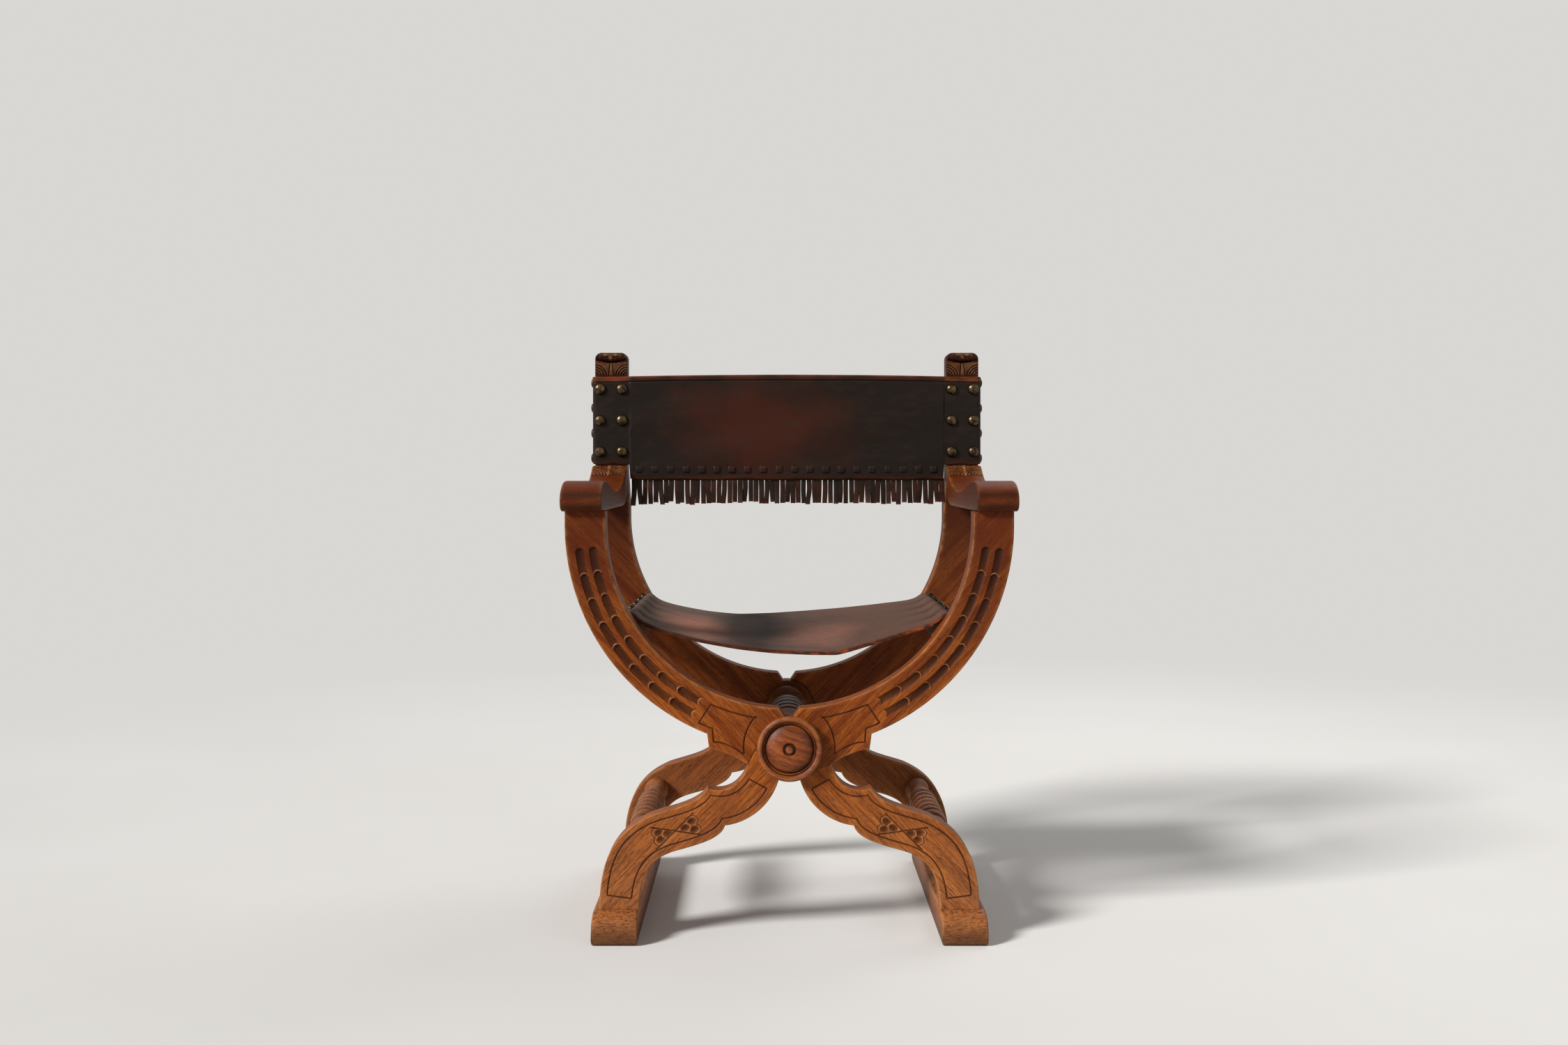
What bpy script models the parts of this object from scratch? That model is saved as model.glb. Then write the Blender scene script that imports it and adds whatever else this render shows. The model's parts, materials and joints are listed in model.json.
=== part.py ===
"""Oak X-frame armchair with a leather sling seat and a laced leather back.

One object for each physical piece, in metres, +Z up. The sitter faces -Y and the
origin is on the floor under the middle of the chair. Two halves turn on one pivot:
the left half has the left arm and the right foot, the right half the mirror image.
"""

import math

import bmesh
import bpy
from mathutils import Matrix, Vector

# Fits
GAP = 0.0003  # between pieces that touch
OVERCUT = 0.004  # how far a cutter runs past the face it opens
WELD = 1e-5  # points closer than this are one

# Chair frame
BOARD_THICKNESS = 0.034
FRAME_SPACING = 0.386  # between the facing sides of the front and rear frames
PIVOT_HEIGHT = 0.279
FOOT_OFFSET = 0.247  # from the chair's middle to the middle of a foot
FOOT_WIDTH = 0.057

# Arms: two concentric arcs
ARM_INNER_RADIUS = 0.267
ARM_WIDTH = 0.059
ARM_ABOVE_PIVOT = 0.056  # from the pivot to the lowest point of the inner arc
ARM_RISE = 0.019  # straight stretch above the arcs, up to the armrest
NOTCH_HALF_WIDTH = 0.0151
STEP_OFFSET = 0.1194  # carved step under the arm, from the chair's middle
STEP_HEIGHT = 0.0224
STEP_SLANT = 0.003

# Pivot knuckle: a half lap inside a circle, with shoulders that meet at the crotch
KNUCKLE_RADIUS = 0.043
NOTCH_HALF_ANGLE = 8.0  # degrees each side of upright, at the knuckle
CROTCH = (0.060, -0.0255)  # from the pivot
JOURNAL_RADIUS = 0.012
JOURNAL_REACH = 0.010  # past the outer face of a frame, into the boss

# Leg curve, measured from the pivot; the last stretch runs to the foot
LEG_BEND_CENTRE = (0.1045, -0.0217)
LEG_BEND_RADIUS = 0.0925
LEG_UPPER_CUSP = (0.1187, -0.0595)
LEG_LOWER_CUSP = 0.0933  # across, where the bend's circle ends
LEG_UPPER_KNEE = (0.2002, -0.0985)
LEG_LOWER_KNEE = (0.1654, -0.1504)

# Handles of the leg's and the step's curves, each from its own point
STEP_HANDLE = (0.015, -0.001)
CROTCH_ARM_HANDLE = (-0.020, 0.014)
CROTCH_LEG_HANDLE = (0.010, -0.028)
UPPER_CUSP_HANDLES = ((0.014, -0.024), (-0.027, -0.009))
UPPER_KNEE_HANDLES = ((0.041, -0.018), (-0.028, 0.010))
LOWER_CUSP_HANDLE = (0.006, -0.020)
LOWER_KNEE_HANDLES = ((-0.032, 0.009), (0.029, -0.009))
FOOT_OUTER_HANDLE = (0.0, 0.090)
FOOT_INNER_HANDLE = (-0.001, 0.060)

# Tenons on the boards' ends
TENON_THICKNESS = 0.014
FOOT_TENON_WIDTH = 0.034
FOOT_TENON_LENGTH = 0.026
ARM_TENON_WIDTH = 0.032
ARM_TENON_LENGTH = 0.018

# Runners
RUNNER_WIDTH = 0.066
RUNNER_HEIGHT = 0.044
RUNNER_NOSE = 0.034  # past the outer face of a frame
RUNNER_TOE = 0.014  # height of the nose's foremost line
RUNNER_HEEL = 0.004  # chamfer at the floor
RUNNER_TOE_HANDLE = (0.0, 0.020)
RUNNER_TOP_HANDLE = (0.016, 0.0)

# Armrests
ARMREST_WIDTH = 0.060
ARMREST_OVERHANG = 0.005  # past the outer side of the arm
ARMREST_NOSE = 0.017  # past the outer face of the front frame
ARMREST_LIP = 0.012  # from the nose back to the start of the underside
ARMREST_TIP = 0.016  # height of the nose's foremost line
ARMREST_ROLL = 0.044  # thickness at the front roll
ARMREST_ROLL_LENGTH = 0.060
ARMREST_WAIST = 0.026  # thickness at the hollow
ARMREST_REAR = 0.066  # height of its rear end over its underside
ARMREST_REAR_CUT = 0.022  # height of the rounding under its rear end
ARMREST_REAR_CUT_LENGTH = 0.080
LIP_HANDLE = (-0.008, 0.0)
TIP_HANDLES = ((0.0, -0.010), (0.0, 0.018))
CREST_HANDLES = ((-0.034, 0.0), (0.070, 0.0))
WAIST_HANDLES = ((-0.070, 0.0), (0.085, 0.0))
REAR_HANDLE = (-0.040, -0.024)
REAR_CUT_HANDLES = ((-0.004, -0.014), (0.035, 0.0))
REAR_TENON_WIDTH = 0.030
REAR_TENON_HEIGHT = 0.014
REAR_TENON_LENGTH = 0.014

# Back posts
POST_WIDTH = 0.055
POST_TAPER_TOP = 0.064  # over the top of the arm
POST_RISE = 0.259  # top of the finial over the top of the arm
FINIAL_HEIGHT = 0.039
FINIAL_CORNER = 0.011
CURL_RADIUS = 0.009  # leaf tip that curls over the front of the finial
CURL_REACH = 0.006  # in front of the post
CURL_DROP = 0.001  # under the finial's top

# Seat rails, set square to the arms
RAIL_ANGLE = 34.0  # below the level of the arcs' centre
RAIL_PROUD = 0.001  # of its inner edge, past the arm's
RAIL_WIDTH = 0.057
RAIL_DEPTH = 0.040
RAIL_TENON_WIDTH = 0.036
RAIL_TENON_DEPTH = 0.022
RAIL_TENON_LENGTH = 0.012

# Turned stretchers
STRETCHER_PLACE = (0.221, -0.141)  # of the lower ones, from the pivot
STRETCHER_TENON_RADIUS = 0.008
STRETCHER_TENON_LENGTH = 0.014
STRETCHER_BEAD_RADIUS = 0.021
STRETCHER_FLANGE_RADIUS = 0.020
STRETCHER_NECK_RADIUS = 0.009
CENTRE_BEAD_RADIUS = 0.034
CENTRE_FLANGE_RADIUS = 0.036
CENTRE_NECK_RADIUS = 0.0155
FLANGE_LENGTH = 0.011
NECK_FROM_END = 0.038
SHOULDER_FROM_END = 0.078
BEAD_PITCH = 0.037
BEAD_COUNT = 3
BEAD_CROWN = 0.0012
GROOVE_DEPTH = 0.005
GROOVE_HALF_WIDTH = 0.004

# Turned bosses over the ends of the pivot
BOSS_RADIUS = 0.0475
BOSS_RIM_HEIGHT = 0.018
BOSS_RIM_WIDTH = 0.0095
BOSS_MOAT_WIDTH = 0.008
BOSS_DOME_HEIGHT = 0.022
BOSS_RECESS_DEPTH = 0.004
BOSS_RECESS_WIDTH = 0.006
BOSS_NUB_RADIUS = 0.005
BOSS_UNDERCUT = 0.003
REAR_BOSS_RADIUS = 0.036
REAR_BOSS_HEIGHT = 0.018
REAR_BOSS_EDGE = 0.006

# Leather seat
LEATHER_THICKNESS = 0.0035
SEAT_CLEARANCE = 0.002  # from each frame
SEAT_FRONT_SAG = 0.057  # under the rails' inner edges
SEAT_REAR_SAG = 0.032
SEAT_WRAP = 0.026  # down the outer side of the rail

# Leather back, with its fringe and its lacing
BACK_TOP_BELOW_FINIAL = 0.002
BACK_CUFF_CLEARANCE = 0.006  # over the rear end of the armrest
BACK_PANEL_DROP = 0.028  # of the hide between the posts, under the cuffs
BACK_PANEL_CLEARANCE = 0.004  # beside the arms
BACK_RETURN = 0.036  # leather on the rear of a post
FRINGE_CLEARANCE = 0.008  # beside the arms
FRINGE_THICKNESS = 0.0025
FRINGE_LENGTH = 0.042
FRINGE_BAND = 0.030  # behind the panel, over its lower edge
FRINGE_STRIP = 0.0073  # pitch of the cut strips
FRINGE_SLIT = 0.0014
LACING_HEIGHT = 0.018  # over the panel's lower edge
LACING_WIDTH = 0.009
LACING_THICKNESS = 0.0018
LACING_COUNT = 20
LACING_STITCH = 0.012
LACING_SLACK = 0.0004

# Nails
BACK_NAIL_RADIUS = 0.0095
BACK_NAIL_HEIGHT = 0.006
SEAT_NAIL_RADIUS = 0.0065
SEAT_NAIL_HEIGHT = 0.0045
NAIL_SHANK_RADIUS = 0.0014
NAIL_SHANK_LENGTH = 0.012
POST_NAIL_INSET = 0.009  # from each side of the post
POST_NAIL_ROWS = 3
POST_NAIL_MARGIN = 0.021  # from the cuff's lower and upper edges
SIDE_NAIL_COUNT = 4
SIDE_NAIL_MARGIN = 0.010
SEAT_NAIL_COUNT = 5
RAIL_NAIL_COUNT = 3
SEAT_NAIL_MARGIN = 0.030  # from each end of the rail
SEAT_NAIL_INSET = 0.009  # from the rail's inner edge
RAIL_NAIL_DROP = 0.014  # under the rail's top

# Facets
ARC_SAG = 0.0002  # how far a facet may lie inside its arc
CURVE_STEPS = 8
ROUND_STEPS = 3
SEAT_ROWS = 6
TURNED_STEPS = 16
NAIL_STEPS = 8

# Derived places
FACE_INNER = FRAME_SPACING / 2
FACE_OUTER = FACE_INNER + BOARD_THICKNESS
FRAME_MIDDLE = FACE_INNER + BOARD_THICKNESS / 2
ARM_OUTER_RADIUS = ARM_INNER_RADIUS + ARM_WIDTH
ARM_MIDDLE = ARM_INNER_RADIUS + ARM_WIDTH / 2
ARC_HEIGHT = PIVOT_HEIGHT + ARM_ABOVE_PIVOT + ARM_INNER_RADIUS
ARM_TOP = ARC_HEIGHT + ARM_RISE
ARMREST_LOW = ARM_TOP + GAP
ARMREST_OUTER = ARM_OUTER_RADIUS + ARMREST_OVERHANG
POST_OUTER = ARM_OUTER_RADIUS
POST_INNER = POST_OUTER - POST_WIDTH
POST_TOP = ARM_TOP + POST_RISE
SIDES_INNER = min(ARM_INNER_RADIUS, POST_INNER, ARMREST_OUTER - ARMREST_WIDTH)
CUFF_BOTTOM = ARMREST_LOW + ARMREST_REAR + BACK_CUFF_CLEARANCE
PANEL_BOTTOM = CUFF_BOTTOM - BACK_PANEL_DROP
PANEL_TOP = POST_TOP - FINIAL_HEIGHT - BACK_TOP_BELOW_FINIAL
FRINGE_HALF_WIDTH = SIDES_INNER - FRINGE_CLEARANCE
RAIL_INNER_RADIUS = ARM_INNER_RADIUS - RAIL_PROUD
RAIL_OUTER_RADIUS = RAIL_INNER_RADIUS + RAIL_WIDTH
LEATHER_SKIN = 2 * GAP + LEATHER_THICKNESS  # from wood to a nail's head

PIVOT = (0.0, PIVOT_HEIGHT)
ARC_CENTRE = (0.0, ARC_HEIGHT)

PARTS = "throne_chair"
CUTTERS = "cutters"
SIDES = (("left", -1), ("right", 1))
FRAMES = (("front", -1), ("rear", 1))
UPRIGHT_XZ = (math.pi / 2, 0, 0)  # turns an XY outline to the XZ plane, as seen from the front
UPRIGHT_YZ = (math.pi / 2, 0, math.pi / 2)  # turns it to the YZ plane, as seen from the right


def clear_scene():
    for item in list(bpy.data.objects):
        bpy.data.objects.remove(item)
    for name in (PARTS, CUTTERS):
        collection = bpy.data.collections.new(name)
        bpy.context.scene.collection.children.link(collection)


def finish(name, colour, roughness, metallic=0.0):
    material = bpy.data.materials.new(name)
    material.use_nodes = True
    shader = material.node_tree.nodes["Principled BSDF"]
    shader.inputs["Base Color"].default_value = (*colour, 1.0)
    shader.inputs["Roughness"].default_value = roughness
    shader.inputs["Metallic"].default_value = metallic
    return material


def add_object(name, mesh, material, location=(0, 0, 0), rotation=(0, 0, 0)):
    """A piece in the parts collection, or a hidden cutter where it has no material."""
    item = bpy.data.objects.new(name, mesh)
    item.location = location
    item.rotation_euler = rotation
    if material:
        mesh.materials.append(material)
        bpy.data.collections[PARTS].objects.link(item)
    else:
        item.hide_render = True
        item.display_type = "WIRE"
        bpy.data.collections[CUTTERS].objects.link(item)
    return item


def mesh_from(name, shape):
    mesh = bpy.data.meshes.new(name)
    shape.to_mesh(mesh)
    shape.free()
    return mesh


def boxes(name, size, places, material=None, rotation=(0, 0, 0), location=(0, 0, 0)):
    """One mesh of equal boxes centred on the given places."""
    shape = bmesh.new()
    for place in places:
        matrix = Matrix.Translation(place) @ Matrix.Diagonal((*size, 1.0))
        bmesh.ops.create_cube(shape, size=1.0, matrix=matrix)
    return add_object(name, mesh_from(name, shape), material, location, rotation)


def box(name, size, location, material=None, rotation=(0, 0, 0)):
    return boxes(name, size, [(0, 0, 0)], material, rotation, location)


def rods(name, radius, length, middles, steps=NAIL_STEPS):
    """One mesh of equal rods along the local Z of the given matrices, centred on them."""
    shape = bmesh.new()
    for middle in middles:
        bmesh.ops.create_cone(
            shape, cap_ends=True, segments=steps, radius1=radius, radius2=radius,
            depth=length, matrix=middle,
        )
    return add_object(name, mesh_from(name, shape), None)


def holes(name, radius, depth, mouths, steps=NAIL_STEPS):
    """Cutters for blind holes, along -Z of matrices at their mouths."""
    shift = Matrix.Translation((0, 0, (OVERCUT - depth) / 2))
    return rods(name, radius, depth + OVERCUT, [mouth @ shift for mouth in mouths], steps)


def cut(target, cutter, operation="DIFFERENCE"):
    modifier = target.modifiers.new(cutter.name, "BOOLEAN")
    modifier.operation = operation
    modifier.object = cutter


def poly_curve(name, points, half_height, closed):
    curve = bpy.data.curves.new(name, "CURVE")
    curve.dimensions = "2D"
    curve.fill_mode = "BOTH" if closed else "NONE"
    curve.extrude = half_height
    spline = curve.splines.new("POLY")
    spline.points.add(len(points) - 1)
    for point, (x, y) in zip(spline.points, points):
        point.co = (x, y, 0.0, 1.0)
    spline.use_cyclic_u = closed
    return curve


def extruded(name, points, thickness, material, location, rotation, closed=True):
    """A flat outline given a thickness, as a welded mesh that Booleans can cut."""
    guide = bpy.data.objects.new(name + "_outline", poly_curve(name, points, thickness / 2, closed))
    bpy.context.scene.collection.objects.link(guide)
    graph = bpy.context.evaluated_depsgraph_get()
    mesh = bpy.data.meshes.new_from_object(guide.evaluated_get(graph))
    bpy.data.objects.remove(guide)
    shape = bmesh.new()
    shape.from_mesh(mesh)
    bmesh.ops.remove_doubles(shape, verts=shape.verts, dist=WELD)
    if closed:
        bmesh.ops.recalc_face_normals(shape, faces=shape.faces)
    shape.to_mesh(mesh)
    shape.free()
    return add_object(name, mesh, material, location, rotation)


def turned(name, profile, material, location, rotation=(-math.pi / 2, 0, 0), steps=TURNED_STEPS):
    """A (radius, height) profile from its top end to its bottom end, turned about local Z."""
    shape = bmesh.new()
    verts = [shape.verts.new((radius, 0, height)) for radius, height in profile]
    for first, second in zip(verts, verts[1:]):
        shape.edges.new((first, second))
    item = add_object(name, mesh_from(name, shape), material, location, rotation)
    screw = item.modifiers.new("turn", "SCREW")
    screw.axis = "Z"
    screw.steps = steps
    screw.render_steps = steps
    screw.use_smooth_shade = True
    screw.use_merge_vertices = True
    screw.merge_threshold = WELD
    return item


def solidify(target, thickness, offset):
    modifier = target.modifiers.new("thickness", "SOLIDIFY")
    modifier.thickness = thickness
    modifier.offset = offset
    modifier.use_even_offset = True


def polar(centre, radius, degrees):
    angle = math.radians(degrees)
    return (centre[0] + radius * math.cos(angle), centre[1] + radius * math.sin(angle))


def arc(centre, radius, start, end):
    facet = 2 * math.degrees(math.acos(1 - ARC_SAG / radius))
    steps = math.ceil(abs(end - start) / facet)
    return [polar(centre, radius, start + (end - start) * i / steps) for i in range(steps + 1)]


def shifted(point, dx, dz):
    return (point[0] + dx, point[1] + dz)


def bezier(first, lead, follow, last):
    """A curve between two points, with its handles given as offsets from them."""
    corners = (first, shifted(first, *lead), shifted(last, *follow), last)
    points = []
    for i in range(CURVE_STEPS + 1):
        t = i / CURVE_STEPS
        weights = ((1 - t) ** 3, 3 * t * (1 - t) ** 2, 3 * t * t * (1 - t), t**3)
        points.append(tuple(sum(w * p[k] for w, p in zip(weights, corners)) for k in range(2)))
    return points


def swung(first, last):
    """Profile points that swing smoothly from one radius to another."""
    points = []
    for i in range(ROUND_STEPS + 1):
        t = i / ROUND_STEPS
        swing = (1 - math.cos(math.pi * t)) / 2
        points.append((first[0] + (last[0] - first[0]) * swing, first[1] + (last[1] - first[1]) * t))
    return points


def rounded(top, foot):
    """A quarter of an ellipse that leaves top level and meets foot upright."""
    points = []
    for i in range(ROUND_STEPS + 1):
        angle = math.pi / 2 * i / ROUND_STEPS
        radius = top[0] + (foot[0] - top[0]) * math.sin(angle)
        points.append((radius, foot[1] + (top[1] - foot[1]) * math.cos(angle)))
    return points


def joined(*stretches):
    """The stretches in order, without the points that two of them share."""
    points = []
    for stretch in stretches:
        for point in stretch:
            if not points or math.dist(points[-1], point) > WELD:
                points.append(point)
    if math.dist(points[0], points[-1]) < WELD:
        points.pop()
    return points


def mirrored(points):
    return [(-x, z) for x, z in points]


def evenly(low, high, count):
    return [low + (high - low) * i / (count - 1) for i in range(count)]


def from_pivot(offset):
    return shifted(PIVOT, *offset)


def tangent_angles(tip, radius):
    """Directions from the pivot to where the two tangents from tip touch a circle about it."""
    direction = math.degrees(math.atan2(tip[1] - PIVOT[1], tip[0] - PIVOT[0]))
    spread = math.degrees(math.acos(radius / math.dist(PIVOT, tip)))
    return direction - spread, direction + spread


def leg_start_angle():
    """Direction from the pivot to where the leg's inner curve leaves the knuckle circle."""
    dx, dz = LEG_BEND_CENTRE
    distance = math.hypot(dx, dz)
    along = (distance**2 + KNUCKLE_RADIUS**2 - LEG_BEND_RADIUS**2) / (2 * distance)
    return math.degrees(math.atan2(dz, dx) - math.acos(along / KNUCKLE_RADIUS))


def leg_outline():
    """Lower edge from the knuckle to the foot, then the upper edge back to the crotch."""
    bend = from_pivot(LEG_BEND_CENTRE)
    start = polar(PIVOT, KNUCKLE_RADIUS, leg_start_angle())
    start_angle = math.degrees(math.atan2(start[1] - bend[1], start[0] - bend[0])) % 360
    end_angle = 270 - math.degrees(math.asin((bend[0] - LEG_LOWER_CUSP) / LEG_BEND_RADIUS))
    lower_cusp = polar(bend, LEG_BEND_RADIUS, end_angle)
    lower_knee = from_pivot(LEG_LOWER_KNEE)
    upper_knee = from_pivot(LEG_UPPER_KNEE)
    upper_cusp = from_pivot(LEG_UPPER_CUSP)
    foot_in = (FOOT_OFFSET - FOOT_WIDTH / 2, RUNNER_HEIGHT + GAP)
    foot_out = (FOOT_OFFSET + FOOT_WIDTH / 2, RUNNER_HEIGHT + GAP)
    return joined(
        arc(bend, LEG_BEND_RADIUS, start_angle, end_angle),
        bezier(lower_cusp, LOWER_CUSP_HANDLE, LOWER_KNEE_HANDLES[0], lower_knee),
        bezier(lower_knee, LOWER_KNEE_HANDLES[1], FOOT_INNER_HANDLE, foot_in),
        bezier(foot_out, FOOT_OUTER_HANDLE, UPPER_KNEE_HANDLES[0], upper_knee),
        bezier(upper_knee, UPPER_KNEE_HANDLES[1], UPPER_CUSP_HANDLES[0], upper_cusp),
        bezier(upper_cusp, UPPER_CUSP_HANDLES[1], CROTCH_LEG_HANDLE, from_pivot(CROTCH)),
    )


def arm_end():
    """Top of a front arm, from its inner to its outer edge."""
    return [(-ARM_INNER_RADIUS, ARM_TOP), (-ARM_OUTER_RADIUS, ARM_TOP)]


def post_end():
    """Back post over a rear arm, from its inner to its outer edge, with its rounded top."""
    inner_corner = (-POST_INNER - FINIAL_CORNER, POST_TOP - FINIAL_CORNER)
    outer_corner = (-POST_OUTER + FINIAL_CORNER, POST_TOP - FINIAL_CORNER)
    return joined(
        [(-ARM_INNER_RADIUS, ARM_TOP), (-POST_INNER, ARM_TOP + POST_TAPER_TOP)],
        arc(inner_corner, FINIAL_CORNER, 0, 90),
        arc(outer_corner, FINIAL_CORNER, 90, 180),
    )


def member_outline(top_end):
    """One S-shaped board: the left arm, the knuckle and the right leg."""
    notch_angle = 270 - math.degrees(math.asin(NOTCH_HALF_WIDTH / ARM_INNER_RADIUS))
    step_angle = 360 - math.degrees(math.acos(-STEP_OFFSET / ARM_OUTER_RADIUS))
    step_foot = shifted(polar(ARC_CENTRE, ARM_OUTER_RADIUS, step_angle), STEP_SLANT, -STEP_HEIGHT)
    left_crotch = from_pivot((-CROTCH[0], CROTCH[1]))
    knuckle_low = tangent_angles(left_crotch, KNUCKLE_RADIUS)[1] % 360
    knuckle_right = tangent_angles(from_pivot(CROTCH), KNUCKLE_RADIUS)[1]
    return joined(
        arc(ARC_CENTRE, ARM_INNER_RADIUS, notch_angle, 180),
        top_end,
        arc(ARC_CENTRE, ARM_OUTER_RADIUS, 180, step_angle),
        bezier(step_foot, STEP_HANDLE, CROTCH_ARM_HANDLE, left_crotch),
        arc(PIVOT, KNUCKLE_RADIUS, knuckle_low, leg_start_angle() + 360),
        leg_outline(),
        arc(PIVOT, KNUCKLE_RADIUS, knuckle_right, 90 + NOTCH_HALF_ANGLE),
    )


def lap_outline():
    """Region where the two boards of a frame cross, with clearance."""
    radius = KNUCKLE_RADIUS + GAP
    reach = 1 + 2 * GAP / math.hypot(*CROTCH)
    right = from_pivot((CROTCH[0] * reach, CROTCH[1] * reach))
    left = (-right[0], right[1])
    low, high = tangent_angles(right, radius)
    return joined(
        [right],
        arc(PIVOT, radius, high, 180 - high),
        [left],
        arc(PIVOT, radius, 180 - low, 360 + low),
    )


def lap_cutter(name, facing, outward):
    """Cutter for the outer or inner half of a frame's lap, from just past the board's middle."""
    depth = BOARD_THICKNESS / 2 + GAP / 2 + OVERCUT
    middle = FRAME_MIDDLE + outward * (depth - GAP) / 2
    return extruded(name, lap_outline(), depth, None, (0, facing * middle, 0), UPRIGHT_XZ)


def along_y(x, y, z, direction):
    """Matrix at a place on a face whose outward side is +Y or -Y."""
    return Matrix.Translation((x, y, z)) @ Matrix.Rotation(-direction * math.pi / 2, 4, "X")


def rail_matrix(side):
    """Local X points out along the arm's radius on the right side, local Z up along the arm."""
    turn = Matrix.Rotation(side * math.radians(RAIL_ANGLE), 4, "Y")
    return Matrix.Translation((0, 0, ARC_HEIGHT)) @ turn


def rail_place(side, radius, lift, y):
    return rail_matrix(side) @ Vector((side * radius, y, lift))


def make_members(oak):
    """Four boards: in each lap the left-arm one keeps the inner half, the right-arm one the outer."""
    members = {}
    for label, facing in FRAMES:
        outline = member_outline(arm_end() if facing < 0 else post_end())
        bore = holes(
            label + "_pivot_bore", JOURNAL_RADIUS + GAP, BOARD_THICKNESS + OVERCUT,
            [along_y(0, facing * FACE_OUTER, PIVOT_HEIGHT, facing)], TURNED_STEPS,
        )
        for side_name, side in SIDES:
            name = f"{label}_{side_name}_member"
            points = mirrored(outline) if side > 0 else outline
            item = extruded(name, points, BOARD_THICKNESS, oak, (0, facing * FRAME_MIDDLE, 0), UPRIGHT_XZ)
            cut(item, lap_cutter(name + "_lap", facing, -side))
            cut(item, bore)
            members[facing, side] = item
    return members


def add_curls(members):
    """The leaf tip that curls over the front of each finial."""
    length = POST_WIDTH - 2 * FINIAL_CORNER
    depth = FACE_INNER - CURL_REACH + CURL_RADIUS
    height = POST_TOP - CURL_DROP - CURL_RADIUS
    across = Matrix.Rotation(math.pi / 2, 4, "Y")
    for side_name, side in SIDES:
        place = Matrix.Translation((side * (POST_OUTER - POST_WIDTH / 2), depth, height)) @ across
        curl = rods(side_name + "_curl", CURL_RADIUS, length, [place], TURNED_STEPS)
        cut(members[1, side], curl, "UNION")


def tenon_and_mortise(name, board, socket, size, place, inward):
    """A tenon joined to a board's end, and its mortise in the piece that the end meets."""
    width, length = size
    middle = Vector(place) + Vector((0, 0, inward * (length - OVERCUT) / 2))
    tenon = (width, TENON_THICKNESS, length + OVERCUT)
    fit = (width + 2 * GAP, TENON_THICKNESS + 2 * GAP, length + OVERCUT + 2 * GAP)
    cut(board, box(name + "_tenon", tenon, middle), "UNION")
    cut(socket, box(name + "_mortise", fit, middle))


def runner_profile():
    """Side view (y, z) of a runner: flat underside and a rounded nose at each end."""
    end = FACE_OUTER + RUNNER_NOSE
    nose = bezier((end, RUNNER_TOE), RUNNER_TOE_HANDLE, RUNNER_TOP_HANDLE, (FACE_OUTER, RUNNER_HEIGHT))
    half = [(end - RUNNER_HEEL, 0.0), (end, RUNNER_HEEL), *nose]
    return half + mirrored(half[::-1])


def make_runners(oak, members):
    """Feet from front to back; the leg of a left-arm board stands on the right runner."""
    middle = FOOT_OFFSET - FOOT_WIDTH / 2 + RUNNER_WIDTH / 2
    runners = {}
    for side_name, side in SIDES:
        item = extruded(
            f"{side_name}_runner", runner_profile(), RUNNER_WIDTH, oak, (side * middle, 0, 0), UPRIGHT_YZ
        )
        for label, facing in FRAMES:
            tenon_and_mortise(
                f"{label}_{side_name}_foot", members[facing, -side], item,
                (FOOT_TENON_WIDTH, FOOT_TENON_LENGTH),
                (side * FOOT_OFFSET, facing * FRAME_MIDDLE, RUNNER_HEIGHT), -1,
            )
        runners[side] = item
    return runners


def armrest_profile():
    """Side view (y, z) of an armrest: front roll, hollow, and a rise to the post."""
    nose = -FACE_OUTER - ARMREST_NOSE
    rear_end = FACE_INNER - GAP
    lip = (nose + ARMREST_LIP, ARMREST_LOW)
    tip = (nose, ARMREST_LOW + ARMREST_TIP)
    crest = (nose + ARMREST_ROLL_LENGTH, ARMREST_LOW + ARMREST_ROLL)
    waist = ((crest[0] + rear_end) / 2, ARMREST_LOW + ARMREST_WAIST)
    rear = (rear_end, ARMREST_LOW + ARMREST_REAR)
    cut_top = (rear_end, ARMREST_LOW + ARMREST_REAR_CUT)
    cut_foot = (rear_end - ARMREST_REAR_CUT_LENGTH, ARMREST_LOW)
    return joined(
        bezier(lip, LIP_HANDLE, TIP_HANDLES[0], tip),
        bezier(tip, TIP_HANDLES[1], CREST_HANDLES[0], crest),
        bezier(crest, CREST_HANDLES[1], WAIST_HANDLES[0], waist),
        bezier(waist, WAIST_HANDLES[1], REAR_HANDLE, rear),
        bezier(cut_top, REAR_CUT_HANDLES[0], REAR_CUT_HANDLES[1], cut_foot),
    )


def make_armrests(oak, members):
    """Each rests on a front arm's tenon and runs back into its post."""
    middle = ARMREST_OUTER - ARMREST_WIDTH / 2
    length = REAR_TENON_LENGTH + OVERCUT
    tenon_depth = FACE_INNER + (REAR_TENON_LENGTH - OVERCUT) / 2
    tenon_height = ARMREST_LOW + (ARMREST_REAR_CUT + ARMREST_REAR) / 2
    tenon = (REAR_TENON_WIDTH, length, REAR_TENON_HEIGHT)
    fit = (REAR_TENON_WIDTH + 2 * GAP, length + 2 * GAP, REAR_TENON_HEIGHT + 2 * GAP)
    armrests = {}
    for side_name, side in SIDES:
        item = extruded(
            f"{side_name}_armrest", armrest_profile(), ARMREST_WIDTH, oak, (side * middle, 0, 0), UPRIGHT_YZ
        )
        tenon_and_mortise(
            f"{side_name}_arm", members[-1, side], item, (ARM_TENON_WIDTH, ARM_TENON_LENGTH),
            (side * ARM_MIDDLE, -FRAME_MIDDLE, ARM_TOP), 1,
        )
        place = (side * (POST_OUTER - POST_WIDTH / 2), tenon_depth, tenon_height)
        cut(item, box(f"{side_name}_rear_tenon", tenon, place), "UNION")
        cut(members[1, side], box(f"{side_name}_rear_mortise", fit, place))
        armrests[side] = item
    return armrests


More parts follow.
